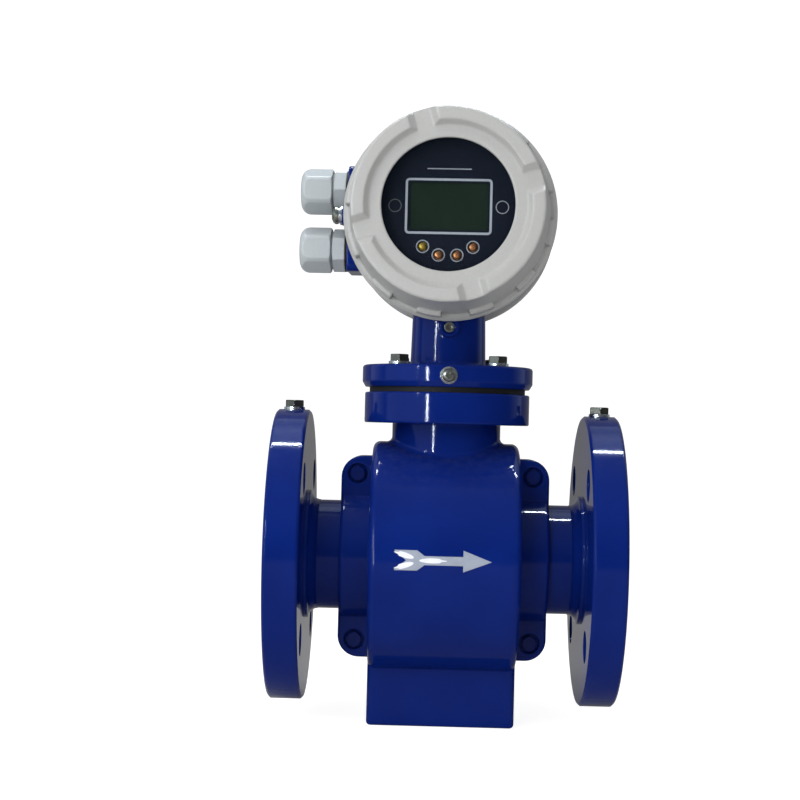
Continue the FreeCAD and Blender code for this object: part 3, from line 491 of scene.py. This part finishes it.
def shared(name):
    """The shared effect of that name, built the first time it is wanted."""
    makers = {"paint film": paint_film_group, "surface grain": grain_group, "metal wear": metal_wear_group,
              "settled dust": dust_group}
    if name not in GROUPS:
        GROUPS[name] = makers[name]()
    return GROUPS[name]


def material(name):
    """A new material, its Tree and its Principled shader."""
    made = bpy.data.materials.new(name)
    made.use_nodes = True
    tree = Tree(made.node_tree)
    return made, tree, made.node_tree.nodes["Principled BSDF"]


def dress(tree, shader, colour, roughness, normal=None, specular=0.5, metallic=0.0):
    """Joins what varies over the surface to the Principled shader, and sets the rest."""
    tree.feed(shader.inputs["Base Color"], colour)
    tree.feed(shader.inputs["Roughness"], roughness)
    if normal is not None:
        tree.feed(shader.inputs["Normal"], normal)
    shader.inputs["Specular IOR Level"].default_value = specular
    shader.inputs["Metallic"].default_value = metallic


def place_group(tree, name, **inputs):
    """A shared effect in a material, with this material's own values."""
    node = tree.add("ShaderNodeGroup")
    node.node_tree = shared(name)
    for label, value in inputs.items():
        tree.feed(node.inputs[label.replace("_", " ")], value)
    return node


def painted(name, base, deep, roughness, peel=420.0, height=0.00002, dust=0.03, edge=0.0008):
    made, t, shader = material(name)
    film = place_group(t, "paint film", Colour=rgba(base), Deep_Colour=rgba(deep), Peel_Scale=peel,
                       Peel_Height=height, Roughness=roughness, Edge_Radius=edge)
    settled = place_group(t, "settled dust", Colour=film.outputs["Colour"],
                          Roughness=film.outputs["Roughness"], Dust=(0.45, 0.45, 0.46, 1.0), Amount=dust)
    dress(t, shader, settled.outputs["Colour"], settled.outputs["Roughness"], film.outputs["Normal"],
          specular=0.13)
    return made


def grained(name, base, deep, roughness, scale=1500.0, height=0.00002, dust=0.05, edge=0.0002, specular=0.5):
    made, t, shader = material(name)
    grain = place_group(t, "surface grain", Scale=scale, Height=height, Edge_Radius=edge)
    tone = t.mix(t.remap(grain.outputs["Grain"], 0.35, 0.65, 0.0, 1.0), rgba(base), rgba(deep))
    rough = t.remap(grain.outputs["Grain"], 0.3, 0.7, roughness - 0.04, roughness + 0.06)
    settled = place_group(t, "settled dust", Colour=tone, Roughness=rough, Dust=(0.45, 0.45, 0.44, 1.0),
                          Amount=dust)
    dress(t, shader, settled.outputs["Colour"], settled.outputs["Roughness"], grain.outputs["Normal"],
          specular=specular)
    return made


def metal(name, base, tarnish, roughness, scratch=0.000002, metallic=1.0):
    made, t, shader = material(name)
    wear = place_group(t, "metal wear", Colour=rgba(base), Tarnish=rgba(tarnish), Roughness=roughness,
                       Scratch_Height=scratch)
    dress(t, shader, wear.outputs["Colour"], wear.outputs["Roughness"], wear.outputs["Normal"],
          metallic=metallic)
    return made


def darker(value, share):
    return tuple(part * share for part in value)


def window_glass_finish():
    made, t, shader = material("toughened glass")
    smear = t.remap(t.noise(60.0, 5.0, 0.6), 0.35, 0.75, 0.015, 0.05)
    dress(t, shader, (0.010, 0.014, 0.014, 1.0), smear, t.bump(t.noise(35.0, 1.0), 0.02 * MM), specular=0.2)
    shader.inputs["Alpha"].default_value = 0.10
    return made


def board_finish():
    made, t, shader = material("circuit board")
    tracks = t.remap(t.noise(260.0, 0.0, 0.5, stretch=(1.0, 1.0, 6.0)), 0.5, 0.52, 0.0, 1.0)
    tone = t.mix(tracks, (0.008, 0.075, 0.025, 1.0), (0.014, 0.13, 0.045, 1.0))
    dress(t, shader, tone, t.remap(tracks, 0.0, 1.0, 0.35, 0.28), t.bump(tracks, 0.03 * MM))
    return made


def screen_finish():
    """Unlit display behind its polariser: a faint dot grid and a slow sheen of tone."""
    made, t, shader = material("unlit display")
    c = colours().screen_green
    cloud = t.remap(t.noise(45.0, 2.0), 0.35, 0.65, 0.0, 1.0)
    tone = t.mix(cloud, rgba(c), rgba(darker(c, 1.25)))
    place = t.split(t.place())
    lines = []
    for axis in ("X", "Z"):
        wave = t.maths("SINE", t.product(place[axis], 2 * math.pi / sizes().dot_pitch))
        lines.append(t.remap(wave, 0.75, 1.0, 0.0, 1.0))
    grid = t.product(t.maths("MAXIMUM", lines[0], lines[1]), 0.35)
    tone = t.mix(grid, tone, rgba(darker(c, 0.7)))
    dress(t, shader, tone, t.remap(cloud, 0.0, 1.0, 0.2, 0.24), specular=0.3)
    return made


def finishes():
    """A finish for every material slot of the record."""
    c = colours()
    black = (0.012, 0.012, 0.013)
    return {
        "blue_paint": painted("gloss blue paint", c.body_blue, c.body_blue_deep, 0.07, peel=700.0,
                              height=0.000013, edge=0.0016),
        # The fasteners' paint is the body blue darkened: painted shade for the bolt heads sunk in their
        # pockets.
        "blue_steel": painted("blue paint on fasteners", darker(c.body_blue, 0.8),
                              darker(c.body_blue_deep, 0.7), 0.16, peel=900.0, height=0.00003, edge=0.0005),
        "cover_paint": grained("grey powder coat", c.cover_grey, darker(c.cover_grey, 0.95), 0.36,
                               scale=700.0, height=0.000003, edge=0.002),
        "stainless": metal("stainless steel", (0.56, 0.57, 0.58), (0.42, 0.42, 0.41), 0.24),
        "soft_iron": metal("soft iron", (0.30, 0.29, 0.28), (0.20, 0.17, 0.15), 0.42, scratch=0.00001),
        "copper_wire": metal("enamelled copper", (0.62, 0.25, 0.10), (0.45, 0.16, 0.06), 0.3,
                             scratch=0.00002),
        "brass": metal("brass", (0.68, 0.50, 0.20), (0.52, 0.36, 0.14), 0.25),
        "liner_white": grained("white fluoropolymer", (0.72, 0.72, 0.70), (0.66, 0.66, 0.64), 0.35,
                               scale=600.0, height=0.00001, dust=0.0),
        "rubber_black": grained("black rubber", black, darker(black, 0.7), 0.6, scale=1200.0, height=0.00003,
                                specular=0.15),
        "gland_grey": grained("grey gland moulding", c.gland_grey, darker(c.gland_grey, 0.95), 0.34,
                              scale=900.0, height=0.000003, edge=0.0012),
        "window_glass": window_glass_finish(),
        "panel_navy": grained("panel film", c.panel_navy, darker(c.panel_navy, 0.9), 0.45, scale=1800.0,
                              height=0.0000015, dust=0.0, edge=0.0001, specular=0.03),
        "black_plastic": grained("black moulding", black, darker(black, 0.8), 0.45),
        "display_green": grained("display rim", (0.010, 0.014, 0.016), (0.012, 0.017, 0.019), 0.3,
                                 scale=1200.0, height=0.000002, dust=0.0, edge=0.0001, specular=0.3),
        "board_green": board_finish(),
        "button_copper": metal("copper key", c.key_copper, darker(c.key_copper, 0.8), 0.42),
        "button_gold": metal("gold key", c.key_gold, darker(c.key_gold, 0.8), 0.42),
        "terminal_green": grained("green moulding", (0.02, 0.22, 0.08), (0.016, 0.19, 0.07), 0.4),
    }


FINISH = {}


def finish(slot):
    if not FINISH:
        FINISH.update(finishes())
    return FINISH[slot]


def give(obj, made):
    obj.data.materials.clear()
    obj.data.materials.append(made)


def put(obj, body, made):
    give(obj, made)
    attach(obj, body)
    return obj


# ---------------------------------------------------------------- operators: finishes
class FinishCadNodes(bpy.types.Operator):
    """Give every solid of the flow meter the finish of its material slot"""
    bl_idname = "flow_meter.finish_nodes"
    bl_label = "Finish the solids"

    def execute(self, context):
        zinc = metal("aged zinc plate", (0.125, 0.125, 0.105), (0.06, 0.06, 0.05), 0.30)
        nickel = metal("dull nickel plate", (0.30, 0.305, 0.265), (0.17, 0.17, 0.14), 0.26)
        plated = {"neck_bolts": zinc, "flange_ground_screws": zinc, "neck_set_screw": nickel,
                  "neck_ground_screw": nickel, "housing_ground_screw": nickel}
        for name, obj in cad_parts.items():
            for holder in obj.material_slots:
                slot = holder.material.name.split(".")[0]
                holder.material = plated[name] if name in plated else finish(slot)
        return {"FINISHED"}


# ---------------------------------------------------------------- operators: pieces
ARROW_BARB = 0.02 * MM               # slope of the step from the shaft to the head
DROP_LIFT = 0.02 * MM                # clearance of the drops over the foil
DROP_TAPER = 0.45                    # share of its width that a drop keeps in its last quarter
DROPS = (("upper", -21.0, 2.9, 11.0, 2.9, -16.0),       # name, middle in X and Y, length, width, tilt
         ("lower", -21.0, -2.9, 11.0, 2.9, 16.0),
         ("middle", -5.2, 0.0, 15.0, 2.7, 180.0))


def arrow_outline(obj):
    """Shapes a plane into the arrow in XY: head towards +X, a notched and sloped tail."""
    s = sizes()
    tail_end = -s.arrow_length / 2
    neck_x = s.arrow_length / 2 - s.arrow_head_length
    shaft_x = tail_end + s.arrow_tail_length + s.arrow_slope
    edit("EDGE")
    choose_all()
    resize(neck_x - shaft_x, s.arrow_shaft)
    move((neck_x + shaft_x) / 2, 0, 0)
    choose(obj, "edges", lambda p: p.x > neck_x - NEAR)
    drag_edges(ARROW_BARB, 0, 0)
    resize(1, s.arrow_head / s.arrow_shaft)
    drag_edges(s.arrow_head_length, 0, 0)
    bpy.ops.mesh.merge(type="CENTER")
    choose(obj, "edges", lambda p: p.x < shaft_x + NEAR and abs(p.y) < NEAR)
    drag_edges(-s.arrow_slope, 0, 0)
    resize(1, s.arrow_tail / s.arrow_shaft)
    drag_edges(-s.arrow_tail_length, 0, 0)
    bpy.ops.mesh.subdivide(number_cuts=1)
    choose(obj, "verts", lambda p: p.x < tail_end + NEAR and abs(p.y) < NEAR)
    move(s.arrow_notch, 0, 0)


def slice_across(reach, cuts):
    """Cuts the whole sheet from -reach to reach in Y, in even steps, so that it can bend round the drum."""
    for k in range(-cuts, cuts + 1):
        choose_all()
        bpy.ops.mesh.bisect(plane_co=(0, reach * k / cuts, 0), plane_no=(0, 1, 0))


def wrap_on_drum(obj, lift, thickness):
    """Stands a flat sheet in front of the drum, lays it on the paint and gives it its thickness."""
    place = Matrix.Translation((-sizes().arrow_back, -DRUM_R - 4 * MM, sizes().arrow_rise))
    settle(obj, place @ Matrix.Rotation(math.radians(90), 4, "X"))
    apply_modifier(obj, "SHRINKWRAP", target=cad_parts["front_shell"], wrap_method="PROJECT",
                   use_project_y=True, use_positive_direction=True, use_negative_direction=True,
                   offset=lift)
    apply_modifier(obj, "SOLIDIFY", thickness=thickness, offset=1.0)


def drop_finish():
    made, t, shader = material("arrow drops")
    cloud = t.remap(t.noise(300.0, 3.0), 0.3, 0.7, 0.0, 1.0)
    tone = t.mix(cloud, (0.80, 0.82, 0.86, 1.0), (0.72, 0.74, 0.80, 1.0))
    dress(t, shader, tone, t.remap(cloud, 0.0, 1.0, 0.3, 0.4))
    return made


class FlowArrow(bpy.types.Operator):
    """Add the foil flow arrow on the drum's front, with two drops in its tail and one in its shaft"""
    bl_idname = "flow_meter.flow_arrow"
    bl_label = "Flow arrow"

    def execute(self, context):
        s = sizes()
        deselect()
        bpy.ops.mesh.primitive_plane_add(size=1)
        arrow = started("flow_arrow")
        arrow_outline(arrow)
        slice_across(6 * MM, 8)
        done(arrow)
        wrap_on_drum(arrow, s.arrow_foil / 2, s.arrow_foil)
        foil = colours().arrow_grey
        put(arrow, "sensor", metal("arrow foil", foil, darker(foil, 0.85), 0.34, metallic=0.25))

        white = drop_finish()
        for name, x, y, long, wide, tilt in DROPS:
            deselect()
            bpy.ops.mesh.primitive_circle_add(vertices=28, radius=0.5, fill_type="NGON")
            drop = started("arrow_drop_" + name)
            edit("VERT")
            choose_all()
            resize(long * MM, wide * MM)
            choose(drop, "verts", lambda p: p.x < -long * 0.25 * MM)
            resize(1, DROP_TAPER)
            slice_across(2 * MM, 4)
            done(drop)
            turn = Matrix.Rotation(math.radians(tilt), 4, "Z")
            settle(drop, Matrix.Translation((x * MM, y * MM, 0)) @ turn)
            wrap_on_drum(drop, 1.5 * s.arrow_foil + DROP_LIFT, s.arrow_foil / 2)
            put(drop, "sensor", white)
        return {"FINISHED"}


def print_finish(name="panel print", share=1.0):
    made, t, shader = material(name)
    c = darker(colours().print_white, share)
    speck = t.remap(t.noise(900.0, 3.0), 0.35, 0.65, 0.0, 1.0)
    dress(t, shader, t.mix(speck, rgba(c), rgba(darker(c, 0.9))), t.remap(speck, 0.0, 1.0, 0.4, 0.5))
    return made


class PanelPrint(bpy.types.Operator):
    """Add the marks on the panel: the display's line, the lamp rings, the key rings and a plain rule"""
    bl_idname = "flow_meter.panel_print"
    bl_label = "Panel print"

    def execute(self, context):
        s = sizes()
        ink = print_finish()
        # The left lamp ring's print is dimmed to a fifth of the ink: painted shade where the window's rim
        # shades the panel's left side.
        shaded_ring_ink = print_finish("worn panel print", 0.2)
        ring_ink = print_finish("ring print", 0.75)
        line = rounded_plate("screen_line", s.screen_line_width, s.screen_line_height, s.screen_line_corner)
        frame_off(line, s.screen_line, s.print_height)
        settle(line, on_panel(0, 0))
        put(line, "head", ink)

        right, left = twins(flat_ring("lamp_ring_right", s.ring_radius, s.ring_line, s.print_height),
                            ["lamp_ring_left"])
        for ring, x, made in ((right, s.lamp_ring_reach, ring_ink), (left, -s.lamp_ring_reach, shaded_ring_ink)):
            settle(ring, on_panel(x, 0))
            put(ring, "head", made)

        first = flat_ring("key_ring_1", s.ring_radius, s.key_ring_line, s.print_height)
        for key, ring in enumerate(twins(first, ["key_ring_%d" % k for k in KEYS[1:]]), 1):
            settle(ring, on_panel(*key_place(key)))
            put(ring, "head", ring_ink)

        rule = rounded_plate("panel_rule", s.rule_width, s.rule_height, s.rule_corner, segments=3)
        thicken(s.print_height)
        done(rule)
        settle(rule, on_panel(0, s.rule_rise))
        put(rule, "head", ink)
        return {"FINISHED"}


def key_place(k):
    """A key's middle on the panel, measured square to it."""
    p = Matrix.Rotation(-HEAD_TURN, 3, "Z") @ middle("button_%d" % k)
    return p.x, p.z - HEAD_Z


class DisplayScreen(bpy.types.Operator):
    """Add the display's screen with its cut corners and the dark rim round it"""
    bl_idname = "flow_meter.display_screen"
    bl_label = "Display screen"

    def execute(self, context):
        s = sizes()
        screen = rounded_plate("display_screen", s.screen_width, s.screen_height, s.screen_cut, segments=1)
        choose_all()
        bpy.ops.mesh.inset(thickness=0.5 * MM, depth=0)
        thicken(s.screen_thickness)
        border = 0.3 * MM
        edge_x = s.screen_width / 2 - border
        edge_y = s.screen_height / 2 - border
        choose(screen, "edges", lambda p: p.z > s.screen_thickness - NEAR
               and (abs(p.x) > edge_x or abs(p.y) > edge_y))
        bpy.ops.mesh.bevel(offset=0.15 * MM, segments=2)
        done(screen)
        settle(screen, on_panel(0, 0, lift=-s.screen_depth))
        put(screen, "head", screen_finish())

        rim = rounded_plate("display_rim", s.rim_width, s.rim_height, s.rim_corner)
        frame_off(rim, s.rim_line, s.rim_thickness)
        settle(rim, on_panel(0, 0))
        put(rim, "head", finish("panel_navy"))
        return {"FINISHED"}


CAP_SIDES = 48


class KeyCaps(bpy.types.Operator):
    """Add a domed metal cap to each of the four keys"""
    bl_idname = "flow_meter.key_caps"
    bl_label = "Key caps"

    def execute(self, context):
        s = sizes()
        deselect()
        bpy.ops.mesh.primitive_cylinder_add(vertices=CAP_SIDES, radius=s.cap_radius, depth=s.cap_wall)
        first = started("key_cap_1")
        edit()
        choose(first, "faces", lambda p: p.z > s.cap_wall / 2 - NEAR)
        facet = s.cap_radius * math.cos(math.pi / CAP_SIDES)
        before = 1.0
        for rise, share in ((0.10, 0.95), (0.16, 0.84), (0.14, 0.70), (0.10, 0.52), (0.06, 0.30)):
            bpy.ops.mesh.inset(thickness=facet * (before - share), depth=rise * MM)
            before = share
        done(first)
        bpy.ops.object.shade_smooth_by_angle(angle=math.radians(40))
        for key, cap in enumerate(twins(first, ["key_cap_%d" % k for k in KEYS[1:]]), 1):
            x, z = key_place(key)
            settle(cap, on_panel(x, z, lift=s.cap_wall / 2 - s.cap_sink))
            slot = "button_gold" if key == 1 else "button_copper"
            put(cap, "button_%d" % key, finish(slot))
        return {"FINISHED"}


# ---------------------------------------------------------------- operator: stage
def area_lamp(name, place, aim, width, height, watts):
    lamp = bpy.data.lights.new(name, "AREA")
    lamp.shape = "RECTANGLE"
    lamp.size = width
    lamp.size_y = height
    lamp.energy = watts
    obj = bpy.data.objects.new(name, lamp)
    bpy.context.scene.collection.objects.link(obj)
    obj.location = place
    obj.rotation_euler = (Vector(aim) - Vector(place)).to_track_quat("-Z", "Y").to_euler()
    obj.visible_camera = False
    return obj


def soft_lamp(name, place, aim, width, height, watts):
    """A lamp that lights the object and isn't mirrored in it."""
    area_lamp(name, place, aim, width, height, watts).visible_glossy = False


def strip_lamp(name, place, aim, width, height, share=1.0):
    """A narrow, cool lamp that is only mirrored in the object."""
    strip = area_lamp(name, place, aim, width, height, studio().strip_light * width * height * share)
    strip.data.color = (0.80, 0.89, 1.0)
    strip.visible_diffuse = False


def backdrop_finish():
    """Pale floor: seen as white, and it keeps the object's shadow."""
    made, t, shader = material("pale floor")
    c = studio().floor_colour
    mottle = t.remap(t.noise(3.0, 2.0), 0.3, 0.7, 0.0, 1.0)
    t.feed(shader.inputs["Base Color"], t.mix(mottle, rgba(c), rgba(darker(c, 0.99))))
    shader.inputs["Roughness"].default_value = 0.9
    shader.inputs["Specular IOR Level"].default_value = 0.0
    shader.inputs["Emission Color"].default_value = (1, 1, 1, 1)
    path = t.add("ShaderNodeLightPath")
    strength = 0.0
    for ray, share in (("Is Camera Ray", 0.9), ("Is Transmission Ray", 0.9), ("Is Glossy Ray", 0.06),
                       ("Is Diffuse Ray", studio().floor_glow)):
        strength = t.maths("MAXIMUM", strength, t.product(path.outputs[ray], share))
    t.feed(shader.inputs["Emission Strength"], strength)
    return made


def studio_world():
    """The room as the paint mirrors it, white to the camera, and an even soft light for all else.

    A ray's direction gives how far it goes across, ahead and up. Behind the object is a white wall
    under a bright strip of ceiling, a window is at the left, and the rest is dim and gets paler
    towards the top.
    """
    world = bpy.data.worlds.new("studio")
    bpy.context.scene.world = world
    world.use_nodes = True
    t = Tree(world.node_tree)
    background = world.node_tree.nodes["Background"]
    across, ahead, rise = t.split(t.add("ShaderNodeTexCoord").outputs["Generated"])
    room = t.remap(rise, 0.15, 0.95, 0.08, 0.6)
    wall = t.product(t.remap(ahead, 0.05, 0.45, 0.0, 0.85), t.remap(rise, 0.95, 0.85, 0.0, 1.0))
    ceiling = t.product(t.remap(ahead, 0.0, 0.12, 0.0, 2.2), t.remap(rise, 0.75, 0.9, 0.0, 1.0))
    window = t.product(t.remap(across, -0.44, -0.48, 0.0, 1.0), t.remap(ahead, 0.1, 0.0, 0.0, 1.0))
    window = t.product(window, t.remap(rise, 0.7, 0.5, 0.0, 1.0))
    for part in (wall, ceiling, window):
        room = t.maths("MAXIMUM", room, part)
    path = t.add("ShaderNodeLightPath")
    mirrored = t.maths("MAXIMUM", path.outputs["Is Glossy Ray"], path.outputs["Is Transmission Ray"])
    soft = t.product(t.maths("SUBTRACT", 1.0, mirrored), studio().room_light)
    strength = t.maths("MAXIMUM", path.outputs["Is Camera Ray"],
                       t.maths("ADD", t.product(mirrored, room), soft))
    t.feed(background.inputs["Color"], t.mix(mirrored, (1, 1, 1, 1), (0.74, 0.87, 1.0, 1.0)))
    t.feed(background.inputs["Strength"], strength)


def studio_camera():
    """Stands in front of the object, a little low, turned and rolled by small angles."""
    azimuth, elevation, roll = (math.radians(angle) for angle in (0.728, -0.819, 1.428))
    back = Vector((math.sin(azimuth) * math.cos(elevation), -math.cos(azimuth) * math.cos(elevation),
                   math.sin(elevation)))
    right = (-back).cross(UP).normalized()
    up = right.cross(-back)
    across = math.cos(roll) * right + math.sin(roll) * up
    upright = math.cos(roll) * up - math.sin(roll) * right
    data = bpy.data.cameras.new("studio camera")
    data.sensor_width = 36.0
    data.lens = 77.72
    data.clip_end = 50.0
    obj = bpy.data.objects.new("studio camera", data)
    bpy.context.scene.collection.objects.link(obj)
    turn = Matrix((across, upright, back)).transposed().to_4x4()
    stand = Matrix.Translation((-0.014418, -0.993149, 0.07508))
    obj.matrix_world = stand @ turn
    bpy.context.scene.camera = obj


class Stage(bpy.types.Operator):
    """Add the floor and backdrop, the soft lamps, the room light and the camera"""
    bl_idname = "flow_meter.stage"
    bl_label = "Stage"

    def execute(self, context):
        s = studio()
        deselect()
        bpy.ops.mesh.primitive_plane_add(size=8, location=(0, -1.0, FOOT_Z))
        floor = started("studio_floor")
        bpy.ops.object.transform_apply(location=True, rotation=True, scale=True)
        edit("EDGE")
        far_y = max(vertex.co.y for vertex in bmesh.from_edit_mesh(floor.data).verts)
        choose(floor, "edges", lambda p: p.y > far_y - NEAR)
        drag_edges(0, 0.6, 3.5)
        choose(floor, "edges", lambda p: abs(p.y - far_y) < NEAR and p.z < FOOT_Z + NEAR)
        bpy.ops.mesh.bevel(offset=0.8, segments=s.backdrop_bend)
        done(floor)
        bpy.ops.object.shade_smooth()
        give(floor, backdrop_finish())
        studio_world()
        middle_of_meter = (0, 0, 0.08)
        soft_lamp("soft box", (-0.66, -1.63, 0.7), middle_of_meter, 0.6, 1.4, s.key_power)
        soft_lamp("side lamp", (-1.45, -1.1, 0.7), middle_of_meter, 0.7, 1.4, s.side_power)
        soft_lamp("ceiling panel", (-0.55, -0.47, 1.5), (-0.55, -0.46, 0), 1.2, 0.8, s.ceiling_power)
        soft_lamp("fill lamp", (1.1, -1.3, 0.6), middle_of_meter, 0.7, 0.7, s.fill_power)
        soft_lamp("bounce card", (0, -0.66, FOOT_Z + 0.01), (0, -0.4, 0.3), 0.9, 0.45, s.bounce_power)
        strip_lamp("strip above", (0, 0.15, 1.35), (0, 0, 0), 1.3, 0.045, share=1.3)
        strip_lamp("strip low at left", (-0.69, -1.33, -0.08), (0, 0, -0.08), 0.055, 0.54)
        strip_lamp("strip high at left", (-0.994, -1.123, 0.445), (0, 0, 0.445), 0.035, 0.51)
        studio_camera()
        bpy.context.scene.view_settings.view_transform = "Standard"
        return {"FINISHED"}


# ---------------------------------------------------------------- panel and registration
STEPS = (FinishCadNodes, FlowArrow, PanelPrint, DisplayScreen, KeyCaps, Stage)


class FlowMeterPanel(bpy.types.Panel):
    """Lists the steps that finish the flow meter"""
    bl_idname = "VIEW3D_PT_flow_meter"
    bl_label = "Flow Meter"
    bl_space_type = "VIEW_3D"
    bl_region_type = "UI"
    bl_category = "Flow Meter"

    def draw(self, context):
        layout = self.layout
        for group in (sizes(), colours(), studio()):
            box = layout.box()
            for name in group.__annotations__:
                box.prop(group, name)
        for step in STEPS:
            layout.operator(step.bl_idname)


CLASSES = (FlowMeterSizes, FlowMeterColours, FlowMeterStudio) + STEPS + (FlowMeterPanel,)


def register():
    for item in CLASSES:
        bpy.utils.register_class(item)
    bpy.types.Scene.flow_meter_sizes = PointerProperty(type=FlowMeterSizes)
    bpy.types.Scene.flow_meter_colours = PointerProperty(type=FlowMeterColours)
    bpy.types.Scene.flow_meter_studio = PointerProperty(type=FlowMeterStudio)


def unregister():
    del bpy.types.Scene.flow_meter_sizes
    del bpy.types.Scene.flow_meter_colours
    del bpy.types.Scene.flow_meter_studio
    for item in reversed(CLASSES):
        bpy.utils.unregister_class(item)


def main():
    register()
    bpy.ops.flow_meter.finish_nodes()
    bpy.ops.flow_meter.flow_arrow()
    bpy.ops.flow_meter.panel_print()
    bpy.ops.flow_meter.display_screen()
    bpy.ops.flow_meter.key_caps()
    bpy.ops.flow_meter.stage()


if __name__ == "__main__":
    main()
